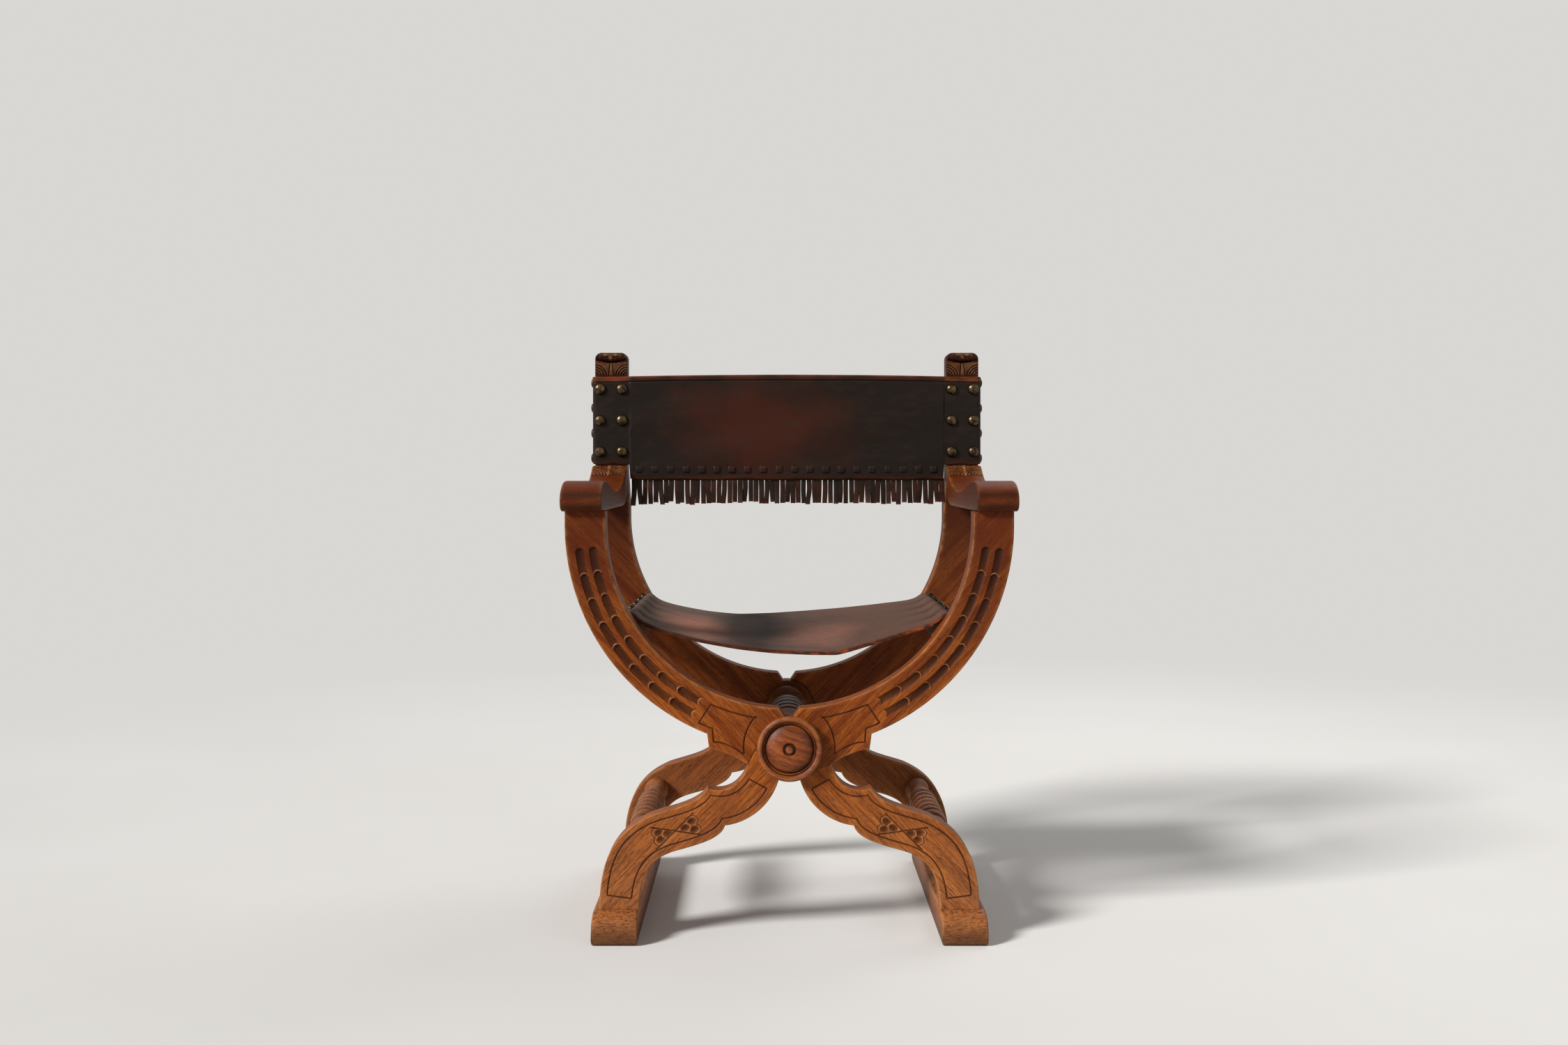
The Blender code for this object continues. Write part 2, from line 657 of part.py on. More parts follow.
def bead_row(bead_radius):
    """Beads about the middle with a groove at each end and between them, from +height down."""
    points = []
    for i in range(BEAD_COUNT + 1):
        height = (BEAD_COUNT / 2 - i) * BEAD_PITCH
        points += [
            (bead_radius, height + GROOVE_HALF_WIDTH),
            (bead_radius - GROOVE_DEPTH, height),
            (bead_radius, height - GROOVE_HALF_WIDTH),
        ]
        if i < BEAD_COUNT:
            points.append((bead_radius + BEAD_CROWN, height - BEAD_PITCH / 2))
    return points


def stretcher_profile(tenon_radius, tenon_length, flange_radius, neck_radius, bead_radius):
    """One turned stretcher between the frames, from its rear tenon to its front tenon."""
    end = FACE_INNER - GAP
    flange = (flange_radius, end - FLANGE_LENGTH)
    neck = (neck_radius, end - NECK_FROM_END)
    shoulder = (bead_radius - GROOVE_DEPTH, end - SHOULDER_FROM_END)
    half = [
        (0.0, end + tenon_length),
        (tenon_radius, end + tenon_length),
        (tenon_radius, end),
        (flange_radius, end),
        *swung(flange, neck),
        *swung(neck, shoulder)[1:],
    ]
    return half + bead_row(bead_radius) + [(radius, -height) for radius, height in half[::-1]]


def make_stretchers(oak, members):
    """Two lower stretchers between the legs, and the centre one that is also the pivot."""
    lower = stretcher_profile(
        STRETCHER_TENON_RADIUS, STRETCHER_TENON_LENGTH, STRETCHER_FLANGE_RADIUS,
        STRETCHER_NECK_RADIUS, STRETCHER_BEAD_RADIUS,
    )
    across, height = from_pivot(STRETCHER_PLACE)
    stretchers = {}
    for side_name, side in SIDES:
        stretchers[side] = turned(f"{side_name}_stretcher", lower, oak, (side * across, 0, height))
        sockets = holes(
            f"{side_name}_stretcher_sockets", STRETCHER_TENON_RADIUS + GAP, STRETCHER_TENON_LENGTH + GAP,
            [along_y(side * across, facing * FACE_INNER, height, -facing) for facing in (-1, 1)],
            TURNED_STEPS,
        )
        for facing in (-1, 1):
            cut(members[facing, -side], sockets)
    centre = stretcher_profile(
        JOURNAL_RADIUS, BOARD_THICKNESS + GAP + JOURNAL_REACH, CENTRE_FLANGE_RADIUS,
        CENTRE_NECK_RADIUS, CENTRE_BEAD_RADIUS,
    )
    stretchers[0] = turned("centre_stretcher", centre, oak, (0, 0, PIVOT_HEIGHT))
    return stretchers


def front_boss_profile():
    """Half-round rim, moat, dome, and a recess round a small nub."""
    rim = (BOSS_RADIUS - BOSS_RIM_WIDTH / 2, BOSS_RIM_HEIGHT - BOSS_RIM_WIDTH / 2)
    dome_foot = (BOSS_RADIUS - BOSS_RIM_WIDTH - BOSS_MOAT_WIDTH, rim[1])
    recess_floor = BOSS_NUB_RADIUS + BOSS_RECESS_WIDTH / 2
    return [
        (0.0, BOSS_DOME_HEIGHT),
        (BOSS_NUB_RADIUS, BOSS_DOME_HEIGHT),
        (recess_floor, BOSS_DOME_HEIGHT - BOSS_RECESS_DEPTH),
        *rounded((BOSS_NUB_RADIUS + BOSS_RECESS_WIDTH, BOSS_DOME_HEIGHT), dome_foot),
        *arc(rim, BOSS_RIM_WIDTH / 2, 180, 0),
        (BOSS_RADIUS - BOSS_UNDERCUT, 0.0),
    ]


def make_bosses(oak):
    """A ringed, dished boss in front and a smaller plain one behind, each bored for the pivot."""
    bore_radius = JOURNAL_RADIUS + GAP
    bore = [(bore_radius, 0.0), (bore_radius, JOURNAL_REACH), (0.0, JOURNAL_REACH)]
    rear_foot = (REAR_BOSS_RADIUS, REAR_BOSS_EDGE)
    rear = [*rounded((0.0, REAR_BOSS_HEIGHT), rear_foot), (REAR_BOSS_RADIUS, 0.0)]
    front = front_boss_profile()
    seat = FACE_OUTER + GAP
    return [
        turned("front_boss", front + bore, oak, (0, -seat, PIVOT_HEIGHT), (math.pi / 2, 0, 0)),
        turned("rear_boss", rear + bore, oak, (0, seat, PIVOT_HEIGHT)),
    ]


def make_rails(oak, members):
    """Bars that carry the seat, set square to the arms and tenoned into both frames."""
    reach = FRAME_SPACING + 2 * RAIL_TENON_LENGTH
    tenon = (RAIL_TENON_WIDTH, reach, RAIL_TENON_DEPTH)
    fit = (RAIL_TENON_WIDTH + 2 * GAP, reach + 2 * GAP, RAIL_TENON_DEPTH + 2 * GAP)
    rails = {}
    for side_name, side in SIDES:
        place = rail_place(side, RAIL_INNER_RADIUS + RAIL_WIDTH / 2, 0.0, 0.0)
        turn = (0, side * math.radians(RAIL_ANGLE), 0)
        size = (RAIL_WIDTH, FRAME_SPACING - 2 * GAP, RAIL_DEPTH)
        item = box(f"{side_name}_seat_rail", size, place, oak, turn)
        cut(item, box(f"{side_name}_rail_tenon", tenon, place, None, turn), "UNION")
        mortise = box(f"{side_name}_rail_mortise", fit, place, None, turn)
        for facing in (-1, 1):
            cut(members[facing, side], mortise)
        rails[side] = item
    return rails


def seat_section(sag):
    """Underside (x, z) of the sling, from the left rail's outer side to the right one's."""
    outer = RAIL_OUTER_RADIUS + GAP
    top = RAIL_DEPTH / 2 + GAP
    wrap = [rail_place(1, outer, lift, 0.0) for lift in (top - SEAT_WRAP, top)]
    ridge = rail_place(1, RAIL_INNER_RADIUS, top, 0.0)
    half = [(point.x, point.z) for point in wrap]
    for i in range(CURVE_STEPS + 1):
        share = 1 - i / CURVE_STEPS
        half.append((ridge.x * share, ridge.z - sag * (1 - share**2)))
    return mirrored(half) + half[-2::-1]


def make_seat(leather):
    """A sling that hangs deeper in front, lofted between its front and rear sections."""
    front = -FACE_INNER + SEAT_CLEARANCE
    shape = bmesh.new()
    sections = []
    for i in range(SEAT_ROWS + 1):
        share = i / SEAT_ROWS
        sag = SEAT_FRONT_SAG + (SEAT_REAR_SAG - SEAT_FRONT_SAG) * share
        y = front * (1 - 2 * share)
        sections.append([shape.verts.new((x, y, z)) for x, z in seat_section(sag)])
    for near, far in zip(sections, sections[1:]):
        for i in range(len(near) - 1):
            shape.faces.new((near[i], near[i + 1], far[i + 1], far[i]))
    item = add_object("seat_leather", mesh_from("seat_leather", shape), leather)
    solidify(item, LEATHER_THICKNESS, 1.0)
    return item


def make_back(leather):
    """One hide across both posts, wrapped round them, with its lower corners cut away."""
    side = POST_OUTER + GAP
    rear = FACE_OUTER + GAP
    half = [(side, FACE_INNER - GAP), (side, rear), (POST_OUTER - BACK_RETURN, rear)]
    path = mirrored(half[::-1]) + half
    height = PANEL_TOP - PANEL_BOTTOM
    item = extruded(
        "back_leather", path, height, leather, (0, 0, PANEL_BOTTOM + height / 2), (0, 0, 0), False
    )
    solidify(item, LEATHER_THICKNESS, -1.0)
    past = GAP + LEATHER_THICKNESS + OVERCUT
    corner_inner = SIDES_INNER - BACK_PANEL_CLEARANCE
    corner_outer = POST_OUTER + past
    corner_height = BACK_PANEL_DROP + OVERCUT
    size = (corner_outer - corner_inner, BOARD_THICKNESS + 2 * past, corner_height)
    middle = (corner_outer + corner_inner) / 2
    places = [(x, FRAME_MIDDLE, CUFF_BOTTOM - corner_height / 2) for x in (-middle, middle)]
    cut(item, boxes("cuff_corners", size, places))
    return item


def make_fringe(leather):
    """A band behind the hide's lower edge, with strips cut into its lower part."""
    width = 2 * FRINGE_HALF_WIDTH
    height = FRINGE_BAND + FRINGE_LENGTH
    middle = PANEL_BOTTOM + FRINGE_BAND - height / 2
    depth = FACE_INNER + FRINGE_THICKNESS / 2
    item = box("back_fringe", (width, FRINGE_THICKNESS, height), (0, depth, middle), leather)
    strips = round(width / FRINGE_STRIP)
    slit = (FRINGE_SLIT, FRINGE_THICKNESS + 2 * OVERCUT, FRINGE_LENGTH + OVERCUT)
    slit_middle = PANEL_BOTTOM - slit[2] / 2
    edges = evenly(-FRINGE_HALF_WIDTH, FRINGE_HALF_WIDTH, strips + 1)
    cut(item, boxes("fringe_slits", slit, [(x, depth, slit_middle) for x in edges[1:-1]]))
    return item


def make_lacing(leather, back, fringe):
    """A thong woven through slots in the hide and the fringe's band."""
    front = FACE_INNER - 2 * GAP - LEATHER_THICKNESS - LACING_THICKNESS / 2
    rear = FACE_INNER + FRINGE_THICKNESS + GAP + LACING_THICKNESS / 2
    pitch = 2 * FRINGE_HALF_WIDTH / LACING_COUNT
    ends = []
    path = []
    for i in range(LACING_COUNT):
        left = -FRINGE_HALF_WIDTH + (i + 0.5) * pitch - LACING_STITCH / 2
        right = left + LACING_STITCH
        ends += [left, right]
        path += [(left, rear), (left, front), (right, front), (right, rear)]
    height = PANEL_BOTTOM + LACING_HEIGHT
    item = extruded("back_lacing", path, LACING_WIDTH, leather, (0, 0, height), (0, 0, 0), False)
    solidify(item, LACING_THICKNESS, 0.0)
    size = (
        LACING_THICKNESS + 2 * LACING_SLACK, rear - front + 2 * OVERCUT, LACING_WIDTH + 2 * LACING_SLACK
    )
    slots = boxes("lacing_slots", size, [(x, (front + rear) / 2, height) for x in ends])
    cut(back, slots)
    cut(fringe, slots)
    return item


def nail_profile(radius, height):
    return [
        *rounded((0.0, height), (radius, 0.0)),
        (NAIL_SHANK_RADIUS, 0.0),
        (NAIL_SHANK_RADIUS, -NAIL_SHANK_LENGTH),
        (0.0, -NAIL_SHANK_LENGTH),
    ]


def back_nail_places(side):
    """Heads on the front and on the outer side of a post, as matrices whose Z points out."""
    places = []
    for height in evenly(CUFF_BOTTOM + POST_NAIL_MARGIN, PANEL_TOP - POST_NAIL_MARGIN, POST_NAIL_ROWS):
        for column in (POST_OUTER - POST_NAIL_INSET, POST_INNER + POST_NAIL_INSET):
            places.append(along_y(side * column, FACE_INNER - LEATHER_SKIN, height, -1))
    turn = Matrix.Rotation(side * math.pi / 2, 4, "Y")
    for height in evenly(CUFF_BOTTOM + SIDE_NAIL_MARGIN, PANEL_TOP - SIDE_NAIL_MARGIN, SIDE_NAIL_COUNT):
        place = (side * (POST_OUTER + LEATHER_SKIN), FRAME_MIDDLE, height)
        places.append(Matrix.Translation(place) @ turn)
    return places


def seat_nail_places(side):
    """Heads along the inner edge of a rail's top and along its outer side."""
    end = FACE_INNER - SEAT_NAIL_MARGIN
    angle = math.radians(RAIL_ANGLE)
    top = Matrix.Rotation(side * angle, 4, "Y")
    outer = Matrix.Rotation(side * (angle + math.pi / 2), 4, "Y")
    places = []
    for y in evenly(-end, end, SEAT_NAIL_COUNT):
        place = rail_place(side, RAIL_INNER_RADIUS + SEAT_NAIL_INSET, RAIL_DEPTH / 2 + LEATHER_SKIN, y)
        places.append(Matrix.Translation(place) @ top)
    for y in evenly(-end, end, RAIL_NAIL_COUNT):
        place = rail_place(side, RAIL_OUTER_RADIUS + LEATHER_SKIN, RAIL_DEPTH / 2 - RAIL_NAIL_DROP, y)
        places.append(Matrix.Translation(place) @ outer)
    return places


def make_nails(label, brass, places, profile, pierced):
    """Domed nails with their shanks in holes through the leather and into the wood."""
    nails = []
    for i, place in enumerate(places):
        location, turn = place.to_translation(), place.to_euler()
        nails.append(turned(f"{label}_{i + 1}", profile, brass, location, turn, NAIL_STEPS))
    shanks = holes(label + "_holes", NAIL_SHANK_RADIUS + GAP, NAIL_SHANK_LENGTH + GAP, places)
    for target in pierced:
        cut(target, shanks)
    return nails


def hold(name, pieces):
    """An empty on the pivot axis that carries one half of the chair."""
    empty = bpy.data.objects.new(name, None)
    empty.location = (0, 0, PIVOT_HEIGHT)
    bpy.data.collections[PARTS].objects.link(empty)
    for piece in pieces:
        piece.parent = empty
        piece.matrix_parent_inverse = Matrix.Translation((0, 0, -PIVOT_HEIGHT))


def main():
    clear_scene()
    oak = finish("oak", (0.25, 0.12, 0.05), 0.45)
    seat_hide = finish("seat_leather", (0.12, 0.075, 0.055), 0.5)
    back_hide = finish("back_leather", (0.045, 0.026, 0.02), 0.55)
    brass = finish("brass", (0.45, 0.31, 0.12), 0.35, 1.0)

    members = make_members(oak)
    add_curls(members)
    runners = make_runners(oak, members)
    armrests = make_armrests(oak, members)
    stretchers = make_stretchers(oak, members)
    bosses = make_bosses(oak)
    rails = make_rails(oak, members)
    seat = make_seat(seat_hide)
    back = make_back(back_hide)
    fringe = make_fringe(back_hide)
    lacing = make_lacing(back_hide, back, fringe)
    back_nail = nail_profile(BACK_NAIL_RADIUS, BACK_NAIL_HEIGHT)
    seat_nail = nail_profile(SEAT_NAIL_RADIUS, SEAT_NAIL_HEIGHT)
    for name, side in SIDES:
        post = members[1, side]
        rail = rails[side]
        nails = make_nails(name + "_back_nail", brass, back_nail_places(side), back_nail, (back, post))
        nails += make_nails(name + "_seat_nail", brass, seat_nail_places(side), seat_nail, (seat, rail))
        hold(f"{name}_arm_frame", [
            members[-1, side], post, armrests[side], runners[-side], stretchers[-side], rail, *nails
        ])
    hold("pivot_and_leather", [stretchers[0], *bosses, seat, back, fringe, lacing])


main()
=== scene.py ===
# %% [markdown]
# # A carved oak armchair that folds
#
# Two S-shaped boards cross in a front frame, and two more in a rear frame. Leather hangs between them as
# a seat and a back. The chair's plain solids come first, as a fixed frame in metres. Every piece made here
# then takes the place of one or more of those solids, so nothing has to be fitted by eye.

# %% Load the frame
import json
import math

import bpy
import numpy as np
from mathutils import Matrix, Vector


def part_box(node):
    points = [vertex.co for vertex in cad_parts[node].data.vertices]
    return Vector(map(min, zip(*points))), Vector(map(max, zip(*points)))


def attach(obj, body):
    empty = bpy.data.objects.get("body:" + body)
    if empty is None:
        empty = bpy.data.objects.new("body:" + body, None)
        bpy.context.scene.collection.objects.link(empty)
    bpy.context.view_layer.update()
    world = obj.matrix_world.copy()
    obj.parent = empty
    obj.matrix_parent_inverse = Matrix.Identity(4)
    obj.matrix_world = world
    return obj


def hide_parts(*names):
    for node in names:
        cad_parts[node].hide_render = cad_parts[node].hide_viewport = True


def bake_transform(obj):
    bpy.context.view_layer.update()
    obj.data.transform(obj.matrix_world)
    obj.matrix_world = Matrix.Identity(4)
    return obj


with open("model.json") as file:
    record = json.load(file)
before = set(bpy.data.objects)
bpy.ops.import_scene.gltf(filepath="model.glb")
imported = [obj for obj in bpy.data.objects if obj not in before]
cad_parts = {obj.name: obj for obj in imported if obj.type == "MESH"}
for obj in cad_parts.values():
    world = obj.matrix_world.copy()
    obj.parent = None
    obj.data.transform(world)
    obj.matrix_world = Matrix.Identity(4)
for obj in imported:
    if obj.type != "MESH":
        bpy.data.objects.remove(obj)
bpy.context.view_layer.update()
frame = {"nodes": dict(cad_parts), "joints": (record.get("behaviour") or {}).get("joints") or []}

# %% [markdown]
# ## Camera
#
# The chair is seen from straight ahead, a little higher than its armrests. Tilting the camera down would
# make the posts lean together, so the lens is shifted instead: the camera stays level and the picture
# slides under it.

# %% Camera
PICTURE_WIDTH = 2250  # pixels
FOCAL_LENGTH = 2396  # in the same pixels
MIDDLE_FROM_AXIS = (18, -80)  # from the lens axis to the middle of the picture
SENSOR_WIDTH = 36.0  # mm
CAMERA_PLACE = (-0.026, -2.647, 0.686)

lens = bpy.data.cameras.new("camera")
lens.sensor_width = SENSOR_WIDTH
lens.lens = SENSOR_WIDTH * FOCAL_LENGTH / PICTURE_WIDTH
lens.shift_x, lens.shift_y = (offset / PICTURE_WIDTH for offset in MIDDLE_FROM_AXIS)
camera = bpy.data.objects.new("camera", lens)
camera.location = CAMERA_PLACE
camera.rotation_euler = (math.pi / 2, 0, 0)
bpy.context.collection.objects.link(camera)
bpy.context.scene.camera = camera
print("camera: lens", round(lens.lens, 1), "mm at", CAMERA_PLACE)

# %% [markdown]
# ## Lines
#
# Most edges of the chair are arcs and slow curves that a carpenter would draw with compasses and a bent
# lath. As arrays of points they can be cut into equal steps, which keeps the mesh squares even.

# %% Lines in a plane
def arc_line(centre, radius, start, end, count=80):
    """Points at even angles, in degrees, on a circle: centre + radius (cos a, sin a)."""
    angle = np.radians(np.linspace(start, end, count))
    return np.asarray(centre) + radius * np.stack([np.cos(angle), np.sin(angle)], axis=1)


def curve_line(first, lead, follow, last, count=60):
    """Cubic curve between two points, whose handles are offsets from them."""
    t = np.linspace(0, 1, count)[:, None]
    first, last = np.asarray(first), np.asarray(last)
    near, far = first + lead, last + follow
    return (1 - t) ** 3 * first + 3 * t * (1 - t) ** 2 * near + 3 * t**2 * (1 - t) * far + t**3 * last


def lengths_along(line):
    """Distance from a line's start to each of its points."""
    steps = np.linalg.norm(np.diff(line, axis=0), axis=1)
    return np.concatenate([[0.0], np.cumsum(steps)])


def evenly(line, count):
    """The same line through points at even distances."""
    line = np.asarray(line, float)
    reach = lengths_along(line)
    place = np.linspace(0, reach[-1], count)
    return np.stack([np.interp(place, reach, line[:, k]) for k in range(line.shape[1])], axis=1)


def in_step(stretches, pitch):
    """Two lines in matching stretches with as many points on each, and each point's stretch and share."""
    first, second, place = [], [], []
    for number, (one, other) in enumerate(stretches):
        longest = max(lengths_along(np.asarray(line))[-1] for line in (one, other))
        count = 1 + math.ceil(longest / pitch)
        skip = 1 if number else 0
        first.append(evenly(one, count)[skip:])
        second.append(evenly(other, count)[skip:])
        place.append(np.linspace(number, number + 1, count)[skip:])
    return np.concatenate(first), np.concatenate(second), np.concatenate(place)


def distance_to(places, line):
    """Shortest distance from each place to a line of straight stretches."""
    start, step = line[:-1], np.diff(line, axis=0)
    away = places.reshape(-1, 1, 2) - start
    share = np.clip((away * step).sum(-1) / (step**2).sum(-1).clip(1e-12), 0, 1)
    return np.linalg.norm(away - share[..., None] * step, axis=-1).min(axis=1).reshape(places.shape[:-1])


print("a quarter of a circle of 1 m:", round(lengths_along(arc_line((0, 0), 1.0, 180, 270))[-1], 3), "m")

# %% [markdown]
# ## Ramps and bells
#
# Carving, wear, painted shade and painted highlights all start somewhere and die away. A few small
# functions
# say how: a share held between 0 and 1, a bell round a place, a fade with distance, and waves of an even
# pitch.

# %% Ramps and bells
def unit(value):
    """The value, held between 0 and 1."""
    return np.clip(value, 0, 1)


def bell(value, middle, width):
    """1 at the middle, and e to minus the square of (value - middle) / width away from it."""
    return np.exp(-(((value - middle) / width) ** 2))


def round_bell(x, y, middle, radius):
    """A bell of the distance from a middle in a plane."""
    return bell(np.hypot(x - middle[0], y - middle[1]), 0, radius)


def fade(distance, reach):
    """1 at no distance, and e to minus distance / reach further off."""
    return np.exp(-distance / reach)


def waves(value, pitch):
    """0 at every whole pitch and 1 half way between them: half of 1 minus the cosine."""
    return 0.5 - 0.5 * np.cos(2 * np.pi * value / pitch)


def most(first, *others):
    """The greatest of several arrays, point by point."""
    for other in others:
        first = np.maximum(first, other)
    return first


print("a bell one width from its middle:", round(float(bell(1.0, 0.0, 1.0)), 3))

# %% [markdown]
# ## From arrays to meshes
#
# A piece is a set of closed shells. A tube is a stack of closed rings with a fan over each end. A slab is
# two grids with a strip round their edge. The sign of a shell's volume tells whether its faces point in
# or out, so a mirrored shell can be turned round without a second look.

# %% Shells
def points_at(x, y, z):
    """Arrays of coordinates, spread to one shape, as an array of points."""
    return np.stack(np.broadcast_arrays(x, y, z), axis=-1)


def quads_of(rows, columns, wrap=False):
    """Corners of the quads of a grid numbered row by row; wrap joins the last column to the first."""
    row, column = np.meshgrid(np.arange(rows - 1), np.arange(columns - (not wrap)), indexing="ij")
    after = (column + 1) % columns
    corners = [row * columns + column, row * columns + after]
    corners += [(row + 1) * columns + after, (row + 1) * columns + column]
    return np.stack(corners, axis=-1).reshape(-1, 4)


def tube(rings, **marks):
    """Rings of points joined by quads, with a fan to the middle of each end ring."""
    rows, columns = rings.shape[:2]
    points = np.concatenate([rings.reshape(-1, 3), rings[[0, -1]].mean(axis=1)])
    here = np.arange(columns)
    after = np.roll(here, -1)
    last = (rows - 1) * columns
    front_fan = np.stack([np.full(columns, rows * columns), after, here], axis=1)
    back_fan = np.stack([np.full(columns, rows * columns + 1), last + here, last + after], axis=1)
    values = {}
    for name, mark in marks.items():
        mark = np.broadcast_to(mark, (rows, columns))
        values[name] = np.concatenate([mark.ravel(), mark[[0, -1]].mean(axis=1)])
    return points, quads_of(rows, columns, True), np.concatenate([front_fan, back_fan]), values


def slab(upper, lower, **marks):
    """Two grids of points, one for each face of a sheet, with a strip of quads round their edge."""
    rows, columns = upper.shape[:2]
    count = rows * columns
    index = np.arange(count).reshape(rows, columns)
    rim = np.concatenate([index[0, :-1], index[:-1, -1], index[-1, :0:-1], index[:0:-1, 0]])
    after = np.roll(rim, -1)
    sides = np.stack([rim, after, after + count, rim + count], axis=1)
    faces = quads_of(rows, columns)
    points = np.concatenate([upper.reshape(-1, 3), lower.reshape(-1, 3)])
    spread = {name: np.broadcast_to(mark, (rows, columns)).ravel() for name, mark in marks.items()}
    values = {name: np.tile(mark, 2) for name, mark in spread.items()}
    return points, np.concatenate([faces[:, ::-1], faces + count, sides]), np.zeros((0, 3), int), values


print("a tube of 3 rings of 4 points:", len(tube(np.zeros((3, 4, 3)))[1]), "quads and two fans")

# %% Pieces
SHARP_ANGLE = math.radians(40)  # faces that meet at more than this keep a hard edge


def make_piece(name, shells, material):
    """One object from closed shells, each turned outwards by the sign of its volume."""
    points, quads, triangles = [], [], []
    marks = {mark: [] for shell in shells for mark in shell[3]}
    base = 0
    for place, fours, threes, values in shells:
        corners = np.concatenate([fours[:, :3], fours[:, [0, 2, 3]], threes])
        a, b, c = (place[corners[:, k]] for k in range(3))
        turn = 1 if np.einsum("ij,ij->", a, np.cross(b, c)) > 0 else -1
        points.append(place)
        quads.append(fours[:, ::turn] + base)
        triangles.append(threes[:, ::turn] + base)
        base += len(place)
        for mark, parts in marks.items():
            parts.append(values.get(mark, np.zeros(len(place))))
    quads, triangles = np.concatenate(quads), np.concatenate(triangles)
    corners = np.concatenate([quads.ravel(), triangles.ravel()])
    starts = np.concatenate([4 * np.arange(len(quads)), quads.size + 3 * np.arange(len(triangles))])
    mesh = bpy.data.meshes.new(name)
    mesh.vertices.add(base)
    mesh.vertices.foreach_set("co", np.concatenate(points).astype(np.float32).ravel())
    mesh.loops.add(len(corners))
    mesh.loops.foreach_set("vertex_index", corners.astype(np.int32))
    mesh.polygons.add(len(starts))
    mesh.polygons.foreach_set("loop_start", starts.astype(np.int32))
    mesh.update(calc_edges=True)
    mesh.shade_smooth()
    mesh.set_sharp_from_angle(angle=SHARP_ANGLE)
    for mark, parts in marks.items():
        layer = mesh.attributes.new(mark, "FLOAT", "POINT")
        layer.data.foreach_set("value", np.concatenate(parts).astype(np.float32))
    mesh.materials.append(material)
    piece = bpy.data.objects.new(name, mesh)
    bpy.context.collection.objects.link(piece)
    print(name + ":", 2 * len(quads) + len(triangles), "triangles")
    return piece


def place_piece(name, nodes, body, shells, material):
    """A piece that takes the place of some nodes and rides on one body."""
    piece = make_piece(name, shells, material)
    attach(piece, body)
    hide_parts(*nodes)


# %% [markdown]
# ## Finishes
#
# A finish is a small graph of nodes. One function adds a node with its settings and what feeds it. Every
# pattern reads Object coordinates in metres through a Mapping node in Texture mode, which turns first and
# then divides by the scale, so the scale is simply the size of one feature in millimetres.

# %% Colours and nodes
MM = 0.001


def colour(code):
    """An sRGB hex value as linear red, green, blue and alpha."""
    channels = np.array([int(code[i : i + 2], 16) for i in (1, 3, 5)]) / 255
    linear = np.where(channels <= 0.04045, channels / 12.92, ((channels + 0.055) / 1.055) ** 2.4)
    return (*linear.tolist(), 1.0)


def add(tree, kind, inputs=None, **settings):
    """Adds a node with its settings; each input takes a value or another node's output."""
    item = tree.nodes.new("ShaderNode" + kind)
    for name, value in settings.items():
        setattr(item, name, value)
    for socket, value in (inputs or {}).items():
        if isinstance(value, bpy.types.NodeSocket):
            tree.links.new(value, item.inputs[socket])
        else:
            item.inputs[socket].default_value = value
    return item


def maths(tree, operation, first, second):
    """One operation on two values."""
    return add(tree, "Math", {0: first, 1: second}, operation=operation).outputs[0]


def ranged(tree, value, low, high, start=0.0, end=1.0):
    """The value carried evenly from low and high to start and end, and held there outside them."""
    limits = {"Value": value, "From Min": low, "From Max": high, "To Min": start, "To Max": end}
    return add(tree, "MapRange", limits).outputs[0]


def mixed(tree, share, first, second):
    """A share of the second colour in the first."""
    return add(tree, "Mix", {0: share, 6: first, 7: second}, data_type="RGBA").outputs[2]


print("mid brown in linear light:", [round(value, 3) for value in colour("#8a5230")[:3]])

# %% Patterns
NOISE_ROUGHNESS = 0.55


def new_finish(name):
    """An empty material, its tree, and its Object coordinates."""
    material = bpy.data.materials.new(name)
    material.use_nodes = True
    material.node_tree.nodes.clear()
    return material, material.node_tree, add(material.node_tree, "TexCoord").outputs["Object"]


def noise_fields(tree, place, fields, turn=(0, 0, 0)):
    """Noise of real sizes: each field is a name, its features' size in mm along x, y and z, and detail."""
    outputs = {}
    for name, size, detail in fields:
        inputs = {"Vector": place, "Rotation": turn, "Scale": [length * MM for length in size]}
        spread = add(tree, "Mapping", inputs, vector_type="TEXTURE").outputs[0]
        settings = {"Vector": spread, "Scale": 1.0, "Detail": detail, "Roughness": NOISE_ROUGHNESS}
        outputs[name] = add(tree, "TexNoise", settings).outputs[0]
    return outputs


def stained(tree, ground, stains):
    """Stains over a ground colour: each one's share follows a field from low to high, up to a limit."""
    shares = {}
    for name, field, low, high, limit, code in stains:
        shares[name] = ranged(tree, field, low, high, end=limit)
        ground = mixed(tree, shares[name], ground, colour(code))
    return ground, shares


def ragged_spot(tree, place, middle, size, uneven):
    """A field that falls by 1 from the middle of an ellipsoid to its edge, made ragged by a noise."""
    inputs = {"Vector": place, "Location": middle, "Scale": size}
    inside = add(tree, "Mapping", inputs, vector_type="TEXTURE").outputs[0]
    away = add(tree, "VectorMath", {0: inside}, operation="LENGTH").outputs["Value"]
    return maths(tree, "SUBTRACT", uneven, away)


def marked(tree, name):
    """The value that a piece's points carry under this name, or 0."""
    return add(tree, "Attribute", attribute_name=name).outputs["Fac"]


def finished(material, paint, rough, bumps, relief, shine, sunk=False):
    """Ends a finish: colour, roughness and shine, with raised or sunk bumps of some strength and depth."""
    tree = material.node_tree
    inputs = {"Height": bumps, "Strength": relief[0], "Distance": relief[1]}
    normal = add(tree, "Bump", inputs, invert=sunk).outputs[0]
    inputs = {"Base Color": paint, "Roughness": rough, "Normal": normal, **shine}
    add(tree, "OutputMaterial", {"Surface": add(tree, "BsdfPrincipled", inputs).outputs[0]})
    print("finish:", material.name)
    return material
